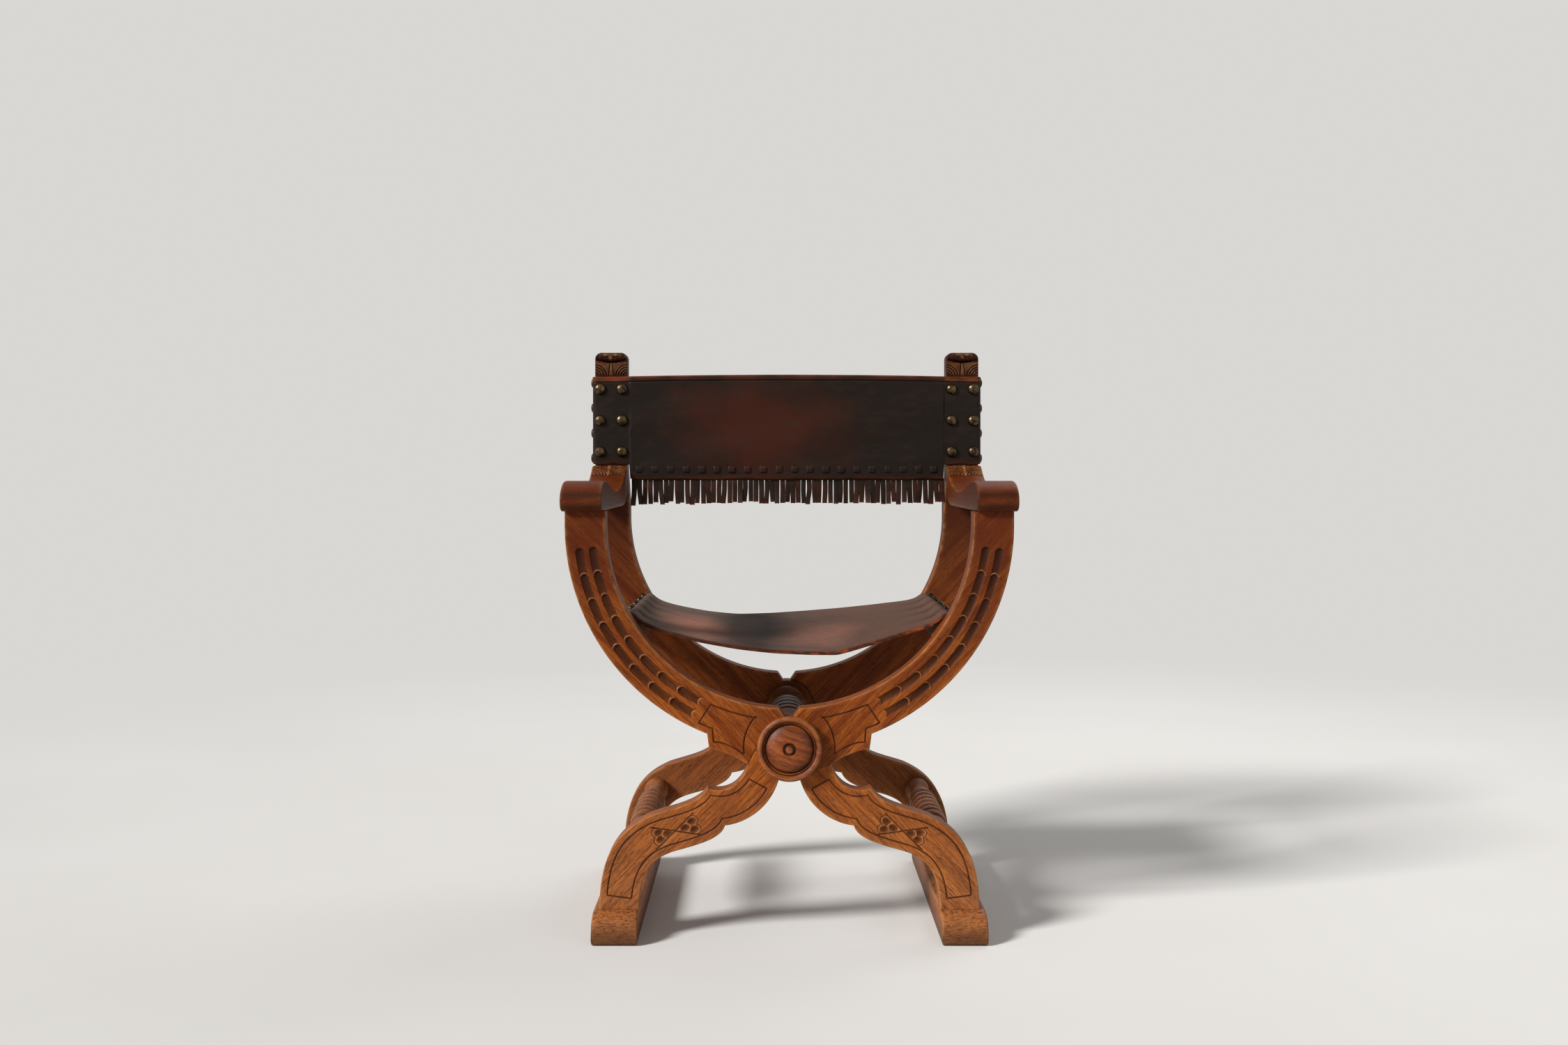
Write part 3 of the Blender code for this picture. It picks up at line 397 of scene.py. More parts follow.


# %% [markdown]
# ### Waxed oak
#
# Oak is ring-porous: rows of open pores draw dark dashes along the grain, and the wood between them
# swings from honey to brown. Centuries of wax darken the hollows, and hands rub the edges pale. The carved
# pieces carry two marks on their points, recess and wear, and the finish darkens
# and lightens by them. Beside wax and wear, the marks hold painted shade in shaded places and painted
# highlights on edges and ridges that catch the light.

# %% Oak
OAK_TONES = ("#74340c", "#a85b1f")  # dark and light of the figure
OAK_UPPER_SHADE = (0.31, 0.58, 0.78, "#471504")  # painted shade: darker between two heights, up to a share
OAK_RELIEF = (0.3, 0.0005)  # strength and depth of its fibres and pores
OAK_ROUGHNESS = (0.48, 0.68)  # without gloss


def oak(name, turn, tones=OAK_TONES, handled=OAK_UPPER_SHADE, gloss=0.11, breadth=1):
    """Waxed oak with figure, fibres and pores along x after a turn; dark hollows, worn edges, painted shade
    and highlights; painted shade above, painted light below.
    """
    material, tree, place = new_finish(name)
    grain = noise_fields(tree, place, (
        ("figure", (210, 11 * breadth, 11), 3.0),
        ("fibre", (46, 1.5 * breadth, 1.5), 3.0),
        ("pore", (9, 0.8 * breadth, 0.8), 1.0),
    ), turn)
    cloud = noise_fields(tree, place, (("patch", (80, 80, 80), 3.0), ("rub", (16, 16, 16), 3.0)))
    height = add(tree, "SeparateXYZ", {0: place}).outputs["Z"]
    worn = maths(tree, "MULTIPLY", marked(tree, "wear"), ranged(tree, cloud["rub"], 0.3, 0.62))
    wood, share = stained(tree, colour(tones[0]), (
        ("figure", grain["figure"], 0.34, 0.66, 1.0, tones[1]),
        ("patch", cloud["patch"], 0.45, 0.72, 0.5, "#5a2509"),
        # handled is painted shade on the upper parts, footworn painted light on the lower parts
        ("handled", height, *handled),
        ("footworn", height, 0.26, 0.05, 0.4, "#a4734b"),
        # darker towards the floor
        ("scuffed", height, 0.034, 0.012, 0.75, "#43301f"),
        ("fibre", grain["fibre"], 0.46, 0.68, 0.66, "#461b05"),
        ("pore", grain["pore"], 0.57, 0.68, 0.65, "#301203"),
        ("worn", worn, 0.0, 1.0, 0.75, "#c08652"),
        ("recess", marked(tree, "recess"), 0.0, 1.0, 0.93, "#1e0c04"),
    ))
    rough = ranged(tree, grain["figure"], 0.0, 1.0, *(level - gloss / 2 for level in OAK_ROUGHNESS))
    lines = maths(tree, "ADD", share["fibre"], share["pore"])
    shine = {"IOR": 1.5, "Specular IOR Level": gloss}
    return finished(material, wood, rough, lines, OAK_RELIEF, shine, sunk=True)


GRAIN_FALL = math.radians(46)
FALLING = (0, GRAIN_FALL, 0)
RISING = (0, -GRAIN_FALL, 0)
LENGTHWAYS = (0, 0, math.pi / 2)
FLAT_GRAIN = (0, 0.35, 0)
# painted shade: the rear boards get a darker copy of the oak, with a deeper handled
REAR_SHADE = {"tones": ("#5e290a", "#8c491b"), "handled": (0.39, 0.63, 0.92, "#2c0c03")}
front_oak = {
    "left": oak("waxed_oak_falling_grain", FALLING),
    "right": oak("waxed_oak_rising_grain", RISING),
}
oak_long = oak("waxed_oak_long_grain", LENGTHWAYS, breadth=4)
oak_runner = oak("footworn_oak", LENGTHWAYS, breadth=5)
rear_oak = {
    "left": oak("dark_oak_falling_grain", FALLING, **REAR_SHADE),
    "right": oak("dark_oak_rising_grain", RISING, **REAR_SHADE),
}
oak_turned = oak("turned_oak", LENGTHWAYS, ("#6a2f0b", "#a0561f"), gloss=0.16)
oak_boss = oak("polished_oak", FLAT_GRAIN, ("#542208", "#934a1a"), gloss=0.26)

# %% [markdown]
# ### Leather
#
# Both hides are tanned cattle skin. The back has gone almost black and keeps a red-brown cloud where it was
# rubbed least. The seat is a worn saddle hide with a grey bloom, pink patches where the face is gone, and
# fine streaks where it was pulled from side to side; a dark band across it is a painted shadow, and its
# folds by the nails hold painted shade. Cut edges stay red-brown, marked by the edge value, which on the
# lacing paints a highlight.

# %% Leather of the back
HIDE_RELIEF = (0.3, 0.0008)
HIDE_IOR = 1.45
RED_CLOUD = ((-0.05, 0.19, 0.755), (0.21, 1.0, 0.10))  # middle and half sizes

back_leather, tree, place = new_finish("aged_black_leather")
fields = noise_fields(tree, place, (
    ("cloud", (90, 90, 60), 4.0),
    ("scuff", (34, 34, 12), 4.0),
    ("pebble", (1.6, 1.6, 1.6), 2.0),
))
worn = maths(tree, "MULTIPLY", marked(tree, "edge"), ranged(tree, fields["scuff"], 0.36, 0.6, start=0.3))
hide = stained(tree, colour("#19110b"), (
    ("cloud", ragged_spot(tree, place, *RED_CLOUD, fields["cloud"]), -0.45, 0.2, 0.8, "#3d180b"),
    ("scuff", fields["scuff"], 0.5, 0.75, 0.4, "#2a2019"),
    ("worn", worn, 0.0, 1.0, 0.9, "#74371c"),
))[0]
rough = ranged(tree, fields["scuff"], 0.0, 1.0, 0.42, 0.66)
bumps = maths(tree, "ADD", fields["pebble"], fields["scuff"])
finished(back_leather, hide, rough, bumps, HIDE_RELIEF, {"IOR": HIDE_IOR, "Specular IOR Level": 0.14})

# %% Leather of the seat
SPOTS = (  # middle and half sizes of each, and the noise that makes it ragged
    ("rubbed", (-0.130, -0.06, 0.43), (0.085, 0.16, 1.0), "patch"),
    ("faded", (0.045, -0.05, 0.43), (0.080, 0.14, 1.0), "patch"),
    # a painted shadow: the dark band across the seat
    ("stain", (-0.062, 0.0, 0.43), (0.066, 0.35, 1.0), "stain"),
)

seat_leather, tree, place = new_finish("worn_saddle_leather")
fields = noise_fields(tree, place, (
    ("patch", (95, 70, 70), 3.0),
    ("stain", (150, 120, 120), 2.0),
    ("streak", (190, 1.6, 1.6), 3.0),
    ("fray", (13, 13, 5), 4.0),
    ("pebble", (1.4, 1.4, 1.4), 2.0),
))
spot = {name: ragged_spot(tree, place, middle, size, fields[field]) for name, middle, size, field in SPOTS}
right = add(tree, "SeparateXYZ", {0: place}).outputs["X"]
scraped = ranged(tree, right, -0.06, 0.04, start=0.2)
frayed = ranged(tree, fields["fray"], 0.44, 0.66)
raw = maths(tree, "MULTIPLY", maths(tree, "MULTIPLY", marked(tree, "edge"), scraped), frayed)
hide = stained(tree, colour("#5f4c43"), (
    ("bloom", fields["patch"], 0.4, 0.66, 0.8, "#735b50"),
    ("rubbed", spot["rubbed"], -0.5, 0.1, 0.9, "#a8735f"),
    ("red", right, 0.0, 0.09, 0.65, "#573a2e"),
    ("faded", spot["faded"], -0.5, 0.1, 0.75, "#835a4c"),
    # the painted shadow across the seat
    ("stain", spot["stain"], -0.62, 0.1, 0.84, "#1d1815"),
    ("streak", fields["streak"], 0.44, 0.7, 0.42, "#2e1f18"),
    # painted shade in the folds by the nails
    ("fold", marked(tree, "fold"), 0.0, 1.0, 1.0, "#241a15"),
    ("edge", marked(tree, "edge"), 0.0, 1.0, 0.95, "#3a1e15"),
    ("raw_edge", raw, 0.0, 1.0, 0.9, "#823f1d"),
))[0]
rough = ranged(tree, fields["patch"], 0.0, 1.0, 0.5, 0.7)
bumps = maths(tree, "ADD", fields["pebble"], fields["streak"])
finished(seat_leather, hide, rough, bumps, HIDE_RELIEF, {"IOR": HIDE_IOR, "Specular IOR Level": 0.03})

# %% [markdown]
# ### Brass
#
# Cast brass nails go brown where the air reaches them and stay bright only where they are touched: a metal
# with a patchy tarnish, darker round the rim of each head.

# %% Brass
PIT_RELIEF = (0.15, 0.0005)

brass, tree, place = new_finish("aged_brass")
fields = noise_fields(tree, place, (("tarnish", (6, 6, 6), 3.0), ("pit", (1.2, 1.2, 1.2), 1.0)))
metal, share = stained(tree, colour("#5a4a34"), (
    ("tarnish", fields["tarnish"], 0.4, 0.66, 1.0, "#2a2017"),
    ("rim", marked(tree, "edge"), 0.0, 1.0, 1.0, "#1d150c"),
))
rough = ranged(tree, share["tarnish"], 0.0, 1.0, 0.3, 0.48)
finished(brass, metal, rough, fields["pit"], PIT_RELIEF, {"Metallic": 1.0})

# %% [markdown]
# ## Boards
#
# Each board is sawn from a plank: an arm, a round knuckle at the pivot, and the opposite leg. An arm or leg
# is a ruled strip, straight across between two edge lines that run in step, closed round its section with
# rubbed corners. The knuckle is half as thick, because two boards lie in one lap. The left-arm board keeps
# the inner half of each lap and the right-arm one the outer half.

# %% Edges of an arm
front_low, front_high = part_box("front_left_member")
FACE_OUTER = -front_low[1]
FACE_INNER = -front_high[1]
FRAME_MIDDLE = (FACE_OUTER + FACE_INNER) / 2
PIVOT = np.array(frame["joints"][0]["pos_m"])[[0, 2]]
ARC_CENTRE = np.array([0.0, 0.602])
ARM_INNER = 0.267
ARM_OUTER = 0.326
ARM_TOP = 0.621
NOTCH_HALF_WIDTH = 0.0151
STEP_OFFSET = 0.1194
STEP_DROP = (0.003, -0.0224)
STEP_HANDLES = ((0.015, -0.001), (-0.020, 0.014))
SHOULDER_ANGLE = 244  # where the arm starts to widen
KNUCKLE = 0.0433
KNUCKLE_TOP_ANGLE = 98
LAP_TOUCH_ANGLES = (-71.6, 25.6)  # where the lap's straight sides touch the knuckle, on the right
RIGHT_CROTCH = PIVOT + (0.060, -0.0255)
LEFT_CROTCH = PIVOT + (-0.060, -0.0255)
POST_INNER = 0.271
POST_TAPER_TOP = 0.685
FINIAL_FOOT = 0.841
POST_TOP = 0.880


def arm_stretches(post):
    """Outer and inner edge of a left arm from its top to the pivot: a rise, an arc, then the shoulder."""
    notch = ARC_CENTRE + (-NOTCH_HALF_WIDTH, -math.sqrt(ARM_INNER**2 - NOTCH_HALF_WIDTH**2))
    notch_angle = 270 - math.degrees(math.asin(NOTCH_HALF_WIDTH / ARM_INNER))
    step_angle = 270 - math.degrees(math.asin(STEP_OFFSET / ARM_OUTER))
    outer_arc = arc_line(ARC_CENTRE, ARM_OUTER, SHOULDER_ANGLE, step_angle)
    step = curve_line(outer_arc[-1] + STEP_DROP, *STEP_HANDLES, LEFT_CROTCH)
    knuckle_top = arc_line(PIVOT, KNUCKLE, KNUCKLE_TOP_ANGLE, KNUCKLE_TOP_ANGLE, 1)
    inner_arc = arc_line(ARC_CENTRE, ARM_INNER, SHOULDER_ANGLE, notch_angle)
    radii = (ARM_OUTER, ARM_INNER)
    rise = [[[(-radius, ARM_TOP), (-radius, ARC_CENTRE[1])] for radius in radii]]
    if post:
        outer = [(-ARM_OUTER, FINIAL_FOOT), (-ARM_OUTER, ARM_TOP)]
        inner = [(-POST_INNER, FINIAL_FOOT), (-POST_INNER, POST_TAPER_TOP), (-ARM_INNER, ARM_TOP)]
        rise = [(outer, inner)] + rise
    bow = [arc_line(ARC_CENTRE, radius, 180, SHOULDER_ANGLE) for radius in radii]
    shoulder = (np.concatenate([outer_arc, step]), np.concatenate([inner_arc, [notch], knuckle_top]))
    return rise + [bow, shoulder]


arm_lengths = [round(lengths_along(outer)[-1], 3) for outer, _ in arm_stretches(False)]
print("arm:", arm_lengths, "m down to the pivot")

# %% Edges of a leg
LEG_BEND = PIVOT + (0.1045, -0.0217)
LEG_BEND_RADIUS = 0.0925
LEG_BEND_ANGLES = (191.9, 263.04)
UPPER_CUSP = PIVOT + (0.1187, -0.0595)
LOWER_KNEE = PIVOT + (0.1654, -0.1504)
UPPER_KNEE = PIVOT + (0.2002, -0.0985)
FOOT_INNER = np.array([0.2185, 0.0443])
FOOT_OUTER = np.array([0.2755, 0.0443])


def leg_stretches():
    """Lower and upper edge of a right leg from the knuckle to the foot, in step at cusps and knees."""
    bend = arc_line(LEG_BEND, LEG_BEND_RADIUS, *LEG_BEND_ANGLES)
    return [
        (bend, curve_line(RIGHT_CROTCH, (0.010, -0.028), (-0.027, -0.009), UPPER_CUSP)),
        (
            curve_line(bend[-1], (0.006, -0.020), (-0.032, 0.009), LOWER_KNEE),
            curve_line(UPPER_CUSP, (0.014, -0.024), (-0.028, 0.010), UPPER_KNEE),
        ),
        (
            curve_line(LOWER_KNEE, (0.029, -0.009), (-0.001, 0.060), FOOT_INNER),
            curve_line(UPPER_KNEE, (0.041, -0.018), (0.0, 0.090), FOOT_OUTER),
        ),
    ]


leg_lengths = [round(lengths_along(lower)[-1], 3) for lower, _ in leg_stretches()]
print("leg:", leg_lengths, "m to cusp, knee and foot")

# %% Section of a board
CORNER_STEPS = 3
SIDE_SHARES = np.array([0.1, 0.5, 0.9])
EDGE_ROUND = 0.0016
WEAR_REACH = 0.0015
SEAM_REACH = 0.35  # share of the last stretch that bends to the lap's seam


def section(width, depth, edge, columns, backs=6):
    """A loop round a rectangle with rounded corners, as distances across it and through it.

    Across is edge (1 + corner) + share (width - 2 edge); through has dip, sink and depth in their stead."""
    face, back = np.linspace(0, 1, columns), np.linspace(1, 0, backs)[1:]
    turn = np.linspace(0, np.pi / 2, CORNER_STEPS + 1)
    flat, side = np.zeros(columns), np.ones(len(SIDE_SHARES))
    parts = [
        (face, flat, flat, flat - 1),
        (np.ones(CORNER_STEPS), np.sin(turn[1:]), np.zeros(CORNER_STEPS), -np.cos(turn[1:])),
        (side, side, SIDE_SHARES, 0 * side),
        (np.ones(CORNER_STEPS + 1), np.cos(turn), np.ones(CORNER_STEPS + 1), np.sin(turn)),
        (back, 0 * back, 1 + 0 * back, 1 + 0 * back),
        (np.zeros(CORNER_STEPS), -np.sin(turn[1:]), np.ones(CORNER_STEPS), np.cos(turn[1:])),
        (0 * side, -side, SIDE_SHARES[::-1], 0 * side),
        (np.zeros(CORNER_STEPS), -np.cos(turn[:-1]), np.zeros(CORNER_STEPS), -np.sin(turn[:-1])),
    ]
    share, corner, sink, dip = (np.concatenate(column) for column in zip(*parts))
    across = edge * (1 + corner) + share * (width - 2 * edge)
    return across, edge * (1 + dip) + sink * (depth - 2 * edge)


def board_shell(edges, near, far, columns, relief=None, seam=None, seam_dark=0.0):
    """A ruled strip between two edge lines, closed round its section, its near face cut by a relief.

    Its last rows bend to the seam: each moves by the seam's distance from the last straight row, eased."""
    first, second, place = edges
    width = np.linalg.norm(second - first, axis=1)[:, None]
    across = (second - first) / width
    thickness = abs(far - near)
    reach, depth = section(width, thickness, EDGE_ROUND, columns)
    flat = first[:, None] + across[:, None] * reach[..., None]
    if seam is not None:
        length = lengths_along(seam)
        way, seam_way = reach[-1] / width[-1], length / length[-1]
        target = np.stack([np.interp(way, seam_way, seam[:, k]) for k in (0, 1)], axis=1)
        ease = unit((place - place[-1] + SEAM_REACH) / SEAM_REACH)
        flat = flat + (ease**2 * (3 - 2 * ease))[:, None, None] * (target - flat[-1])
    from_edge = np.minimum(reach, width - reach) + np.minimum(depth, thickness - depth)
    # edges pale from wear and as a painted highlight
    wear = fade(from_edge, WEAR_REACH)
    cut, recess = np.zeros_like(reach), np.zeros_like(reach)
    if relief is not None:
        face = np.s_[:, :columns]
        cut[face], recess[face], lip = relief(flat[face], reach[face], width, place)
        wear[face] = np.maximum(wear[face], lip)
    recess[-2:] = np.maximum(recess[-2:], seam_dark)
    y = near + np.sign(far - near) * (depth + cut)
    return tube(points_at(flat[..., 0], y, flat[..., 1]), recess=recess, wear=wear)


print("section of a board:", len(section(0.060, 0.034, EDGE_ROUND, 20)[0]), "points with 20 on its face")

# %% Lap
def knuckle_shell(near, far):
    """The lap from one depth to the other: the knuckle's circle with straight sides to the two crotches."""
    low, high = LAP_TOUCH_ANGLES
    upper = arc_line(PIVOT, KNUCKLE, high, 180 - high)
    lower = arc_line(PIVOT, KNUCKLE, 180 - low, 360 + low)
    line = np.concatenate([[RIGHT_CROTCH], upper, [LEFT_CROTCH], lower])
    return tube(points_at(line[:, 0], np.array([[near], [far]]), line[:, 1]))


seam_arc = arc_line(PIVOT, KNUCKLE, 180 - LAP_TOUCH_ANGLES[1], KNUCKLE_TOP_ANGLE)
ARM_SEAM = np.concatenate([[LEFT_CROTCH], seam_arc])
print("lap seam:", round(lengths_along(ARM_SEAM)[-1], 3), "m")

# %% [markdown]
# ### Carving of the front boards
#
# The carver struck a half-round gouge down at each arch of the arm and pared towards it, so every flute is
# deepest under its arch and runs out before the next. Panels near the pivot and on the legs are scratched
# with a V-tool. Depth is a function of the place on the board, on a grid fine enough to show it.

# %% Flutes and lines on the arm
FLUTE_RADII = (0.307, 0.287)
FLUTE_HALF_WIDTH = 0.0062
FLUTE_START = 6.3  # degrees below the arc's centre
FLUTE_PITCH = 7.06
FLUTE_COUNT = 8
FLUTE_DEPTH = 0.0031
FLUTE_RUN_OUT = 0.3  # share of the depth lost before the next arch
FLUTE_DARK = (0.95, 0.24)  # painted shade with dark wax under an arch, and what is lost of it before the next
LIP_WIDTH = 0.0011
SCRATCH_HALF_WIDTH = 0.0009
SCRATCH_DEPTH = 0.0014
SCRATCH_STAIN = 1.2  # how much wider than its cut a scratch is dark
PANEL_INNER = 0.2845
PANEL_ANGLE = 246.5

ARM_PANEL = np.concatenate([
    arc_line(ARC_CENTRE, PANEL_INNER, PANEL_ANGLE, 260.4, 16),
    arc_line(PIVOT, 0.066, 137.7, 188.1, 20),
    curve_line((-0.0667, 0.2695), (-0.013, 0.009), (0.014, 0.001), (-0.1096, 0.2865), 14),
    arc_line(ARC_CENTRE, 0.316, 249.4, 245.5, 6),
    arc_line(ARC_CENTRE, PANEL_INNER, PANEL_ANGLE, PANEL_ANGLE, 1),
])


def scratch(distance):
    """Depth and darkness of a V-tool line: both fade as a bell of the distance from it."""
    widths = distance / SCRATCH_HALF_WIDTH
    return SCRATCH_DEPTH * bell(widths, 0, 1), bell(widths, 0, SCRATCH_STAIN)


def arm_relief(flat, reach, width, place):
    """Two rows of flutes round the arc's centre, and the scratched panel by the pivot."""
    away = flat - ARC_CENTRE
    radius = np.hypot(away[..., 0], away[..., 1])
    below = np.degrees(np.arctan2(-away[..., 1], -away[..., 0]))
    cut, recess = scratch(distance_to(flat, ARM_PANEL))
    lip = np.zeros_like(cut)
    for row in FLUTE_RADII:
        across = np.clip((radius - row) / FLUTE_HALF_WIDTH, -1, 1)
        length = row * math.radians(FLUTE_PITCH)
        arch = (1 - np.sqrt(1 - across**2)) * FLUTE_HALF_WIDTH / length
        run = (below - FLUTE_START) / FLUTE_PITCH - arch
        inside = (np.abs(across) < 1) & (run >= 0) & (run < FLUTE_COUNT)
        share = run % 1
        channel = np.where(inside, (1 - across**2) ** 0.5, 0)
        to_arch = np.minimum(share, 1 - share) * length
        ridge = np.where(inside, bell(to_arch, 0, LIP_WIDTH), 0)
        cut = cut + FLUTE_DEPTH * (1 - FLUTE_RUN_OUT * share) * channel * (1 - ridge)
        # a flute's darkness is painted shade with dark wax; the pale lip at its arch is wear and a painted
        # highlight
        dark = FLUTE_DARK[0] - FLUTE_DARK[1] * share
        recess = np.maximum(recess, channel**0.5 * dark * (1 - ridge))
        lip = np.maximum(lip, ridge**2 * (run > 0.5))
    return cut, recess, lip


print("flutes:", FLUTE_COUNT * len(FLUTE_RADII), "on each front arm")

# %% Lines on the leg
PANEL_INSET = 0.011
PANEL_SPAN = (0.22, 2.87)  # in stretches of the leg
CROSS_LINES = np.array([[(0.2007, 0.1626), (0.1293, 0.1526)], [(0.1393, 0.1835), (0.1924, 0.1304)]])
CROSSING = np.array([0.1653, 0.1575])
FANS = ((-18.0, 0.0240, 0.0114), (161.7, 0.0275, 0.0152))  # direction, outer and inner petals' places
FAN_HALF_ANGLE = 25.0  # degrees, like the next two
LINE_HALF_ANGLE = 29.0
PETAL_SPREAD = 12.5
PETAL_HALF = (0.0078, 0.0058)
PETAL_DEPTH = 0.0021
FRONT_PETAL = 1.16  # how far the front petal hides the others, in its own size, like the next two
PETAL_LIP = (1.06, 0.09)
PETAL_LINE = (1.30, 0.10)
PETAL_LINE_DEPTH = 0.0009


def petal(away, direction, place):
    """How far out of a petal a place is: 1 on its edge, an ellipse along a direction from the crossing."""
    turn = math.radians(direction)
    out = np.array([math.cos(turn), math.sin(turn)])
    along = away @ out - place
    aside = away @ np.array([-out[1], out[0]])
    return np.hypot(along / PETAL_HALF[0], aside / PETAL_HALF[1])


def fan_relief(away, direction, outer, inner):
    """Two gouged petals behind a third: bowls with a pale lip, and a scratch round the outer two."""
    around = np.degrees(np.arctan2(away[..., 1], away[..., 0])) - direction
    swing = np.abs((around + 180) % 360 - 180)
    inside = swing < FAN_HALF_ANGLE
    back = np.minimum(*(petal(away, direction + turn, outer) for turn in (-PETAL_SPREAD, PETAL_SPREAD)))
    front = petal(away, direction, inner)
    out = np.where(front < FRONT_PETAL, front, back)
    bowl = np.where(inside, unit(1 - out**2), 0)
    lip = np.where(inside, bell(out, *PETAL_LIP), 0)
    line = np.where((front >= FRONT_PETAL) & (swing < LINE_HALF_ANGLE), bell(back, *PETAL_LINE), 0)
    return bowl, lip, line


def leg_relief(flat, reach, width, place):
    """Scratched lines along both edges, two that cross at the knee, and a fan of petals on either side."""
    distance = np.minimum(np.abs(reach - PANEL_INSET), np.abs(reach - width + PANEL_INSET))
    outside = (place < PANEL_SPAN[0]) | (place > PANEL_SPAN[1])
    distance = np.where(outside[:, None], 1.0, distance)
    for row in np.searchsorted(place, PANEL_SPAN):
        inset = PANEL_INSET / width[row, 0]
        ends = np.stack([flat[row, 0] + (flat[row, -1] - flat[row, 0]) * at for at in (inset, 1 - inset)])
        distance = np.minimum(distance, distance_to(flat, ends))
    for line in CROSS_LINES:
        distance = np.minimum(distance, distance_to(flat, line))
    cut, recess = scratch(distance)
    pale = np.zeros_like(cut)
    for fan in FANS:
        bowl, lip, line = fan_relief(flat - CROSSING, *fan)
        cut = np.maximum(cut, PETAL_DEPTH * bowl + PETAL_LINE_DEPTH * line)
        recess = most(recess, 0.9 * bowl**0.5 * (1 - lip), 0.85 * line)
        pale = np.maximum(pale, lip)
    return cut, recess, 0.9 * pale


print("leg panel from", PANEL_SPAN[0], "to", PANEL_SPAN[1], "stretches")

# %% Front boards
CARVED_PITCH = 0.0009
CARVED_COLUMNS = 76
LEG_COLUMNS = 64
FRONT_SEAM_DARK = 0.9
SIDES = (("left", -1), ("right", 1))
MIRROR = np.array([-1.0, 1.0, 1.0])
BODIES = ("left_arm_frame", "right_arm_frame")
ARM_BODY = dict(zip(("left", "right"), BODIES))
LEG_BODY = dict(zip(("right", "left"), BODIES))  # a leg goes with the other arm


def on_side(shells, side):
    """Shells drawn for the left, or their mirror image on the right."""
    if side < 0:
        return shells
    return [(points * MIRROR, *others) for points, *others in shells]


arm_edges = in_step(arm_stretches(False), CARVED_PITCH)
leg_edges = in_step(leg_stretches(), CARVED_PITCH)
for name, side in SIDES:
    seam_dark = FRONT_SEAM_DARK if side < 0 else 0.0
    lap = (-FRAME_MIDDLE, -FACE_INNER) if side < 0 else (-FACE_OUTER, -FRAME_MIDDLE)
    shells = [
        board_shell(arm_edges, -FACE_OUTER, -FACE_INNER, CARVED_COLUMNS, arm_relief, ARM_SEAM, seam_dark),
        board_shell(leg_edges, -FACE_OUTER, -FACE_INNER, LEG_COLUMNS, leg_relief),
        knuckle_shell(*lap),
    ]
    nodes = [f"front_{name}_member"]
    place_piece(f"front_{name}_board", nodes, ARM_BODY[name], on_side(shells, side), front_oak[name])

# %% [markdown]
# ### Rear boards
# The rear boards have the same outline but no flutes, and they run on up as the posts of the back. Their
# oak is a darker copy that paints shade on them. Each post ends in a finial: a leaf whose tip curls forward
# over a dark undercut, with veins that fan out below.

# %% Relief of a finial
FINIAL_MIDDLE = -(ARM_OUTER + POST_INNER) / 2
FINIAL_HALF_WIDTH = (ARM_OUTER - POST_INNER) / 2
LEAF_HEIGHT = 0.0225
LEAF_REACH = 0.0232
LEAF_FOOT = 0.001  # how far under the foot the veins have their centres
VEIN_PITCH = 0.0043
VEIN_DEPTH = 0.0014
VEIN_POWER = 1.2  # above 1 makes the ridges wider than the grooves
RIB_HALF_WIDTHS = (0.0006, 0.0026)  # at its tip, and what its foot has more
RIB_LINE = (0.0012, 0.0008)  # how far beside the rib, and half width
BEAD = ((0.0, 0.0300), 0.0032)  # aside and height of its middle, and radius
HOLLOW = ((0.0068, 0.0305), 0.0026)
BROW_HEIGHT = (0.0355, 0.0016)  # middle and half width
BROW_ASIDE = (0.006, 0.009)
CURL_FLUTE_PITCH = 0.0085
CURL_DEPTHS = (0.0012, 0.0007, -0.0016)  # of the hollows, the flutes and the raised bead
LEAF_EDGE = 0.0015  # over which the veins start
RIB_EDGE = 0.0006


def leaf_relief(aside, height):
    """Cut, darkness, and wear with painted highlights, of a leaf: arcs round its lower corners, a
    spear-shaped rib, its outline.
    """
    corner = np.hypot(aside - FINIAL_HALF_WIDTH, height + LEAF_FOOT)
    gouged = unit((LEAF_REACH - corner) / LEAF_EDGE)
    veins = gouged * waves(corner, VEIN_PITCH) ** VEIN_POWER
    rib = RIB_HALF_WIDTHS[0] + RIB_HALF_WIDTHS[1] * unit(1 - height / LEAF_HEIGHT)
    beside = bell(aside - rib, *RIB_LINE)
    on_rib = unit((rib - aside) / RIB_EDGE + 0.5)
    groove = (1 - on_rib) * np.maximum(veins, beside)
    worn = np.maximum(0.5 * on_rib, (0.2 + 0.35 * gouged) * (1 - veins) ** 3 * (1 - beside))
    return VEIN_DEPTH * groove, 0.25 + 0.7 * groove, worn


def curl_relief(aside, height):
    """Cut, darkness and wear of the curled tip: a bead between two hollows, flutes and a rubbed brow."""
    bead = round_bell(aside, height, *BEAD)
    hollow = round_bell(aside, height, *HOLLOW)
    brow = bell(height, *BROW_HEIGHT) * bell(aside, *BROW_ASIDE)
    flute = waves(aside, CURL_FLUTE_PITCH)
    cut = sum(depth * form for depth, form in zip(CURL_DEPTHS, (hollow, flute, bead)))
    dark = unit(0.62 + 0.38 * hollow + 0.2 * flute - 0.6 * bead - 0.5 * brow)
    return cut, dark, np.maximum(bead, brow)


print("finial:", round(2 * FINIAL_HALF_WIDTH / MM), "mm wide")

# %% Shape of a finial
FINIAL_CORNER = 0.011
FINIAL_CROWN = 0.004  # height of its rounded top
FINIAL_COLUMNS = 111
# darkness of the finial's sides and back
FINIAL_BASE_DARK = 0.25
LEAF_SWELL = 0.0026
LEAF_CORNER_RISE = 0.0045  # how much higher the leaf's border is at its corners
CURL_RADIUS = 0.0075
CURL_MIDDLE = (FACE_INNER + 0.0015, POST_TOP - 0.0076)
UNDERCUT = (0.0012, 0.0013)  # how far above the border, and half width; its darkness is painted shade
UNDERCUT_DEPTH = 0.0022
BORDER_EDGE = 0.0012  # over which the leaf turns into the curl
FOOT_SHADE = 0.0018


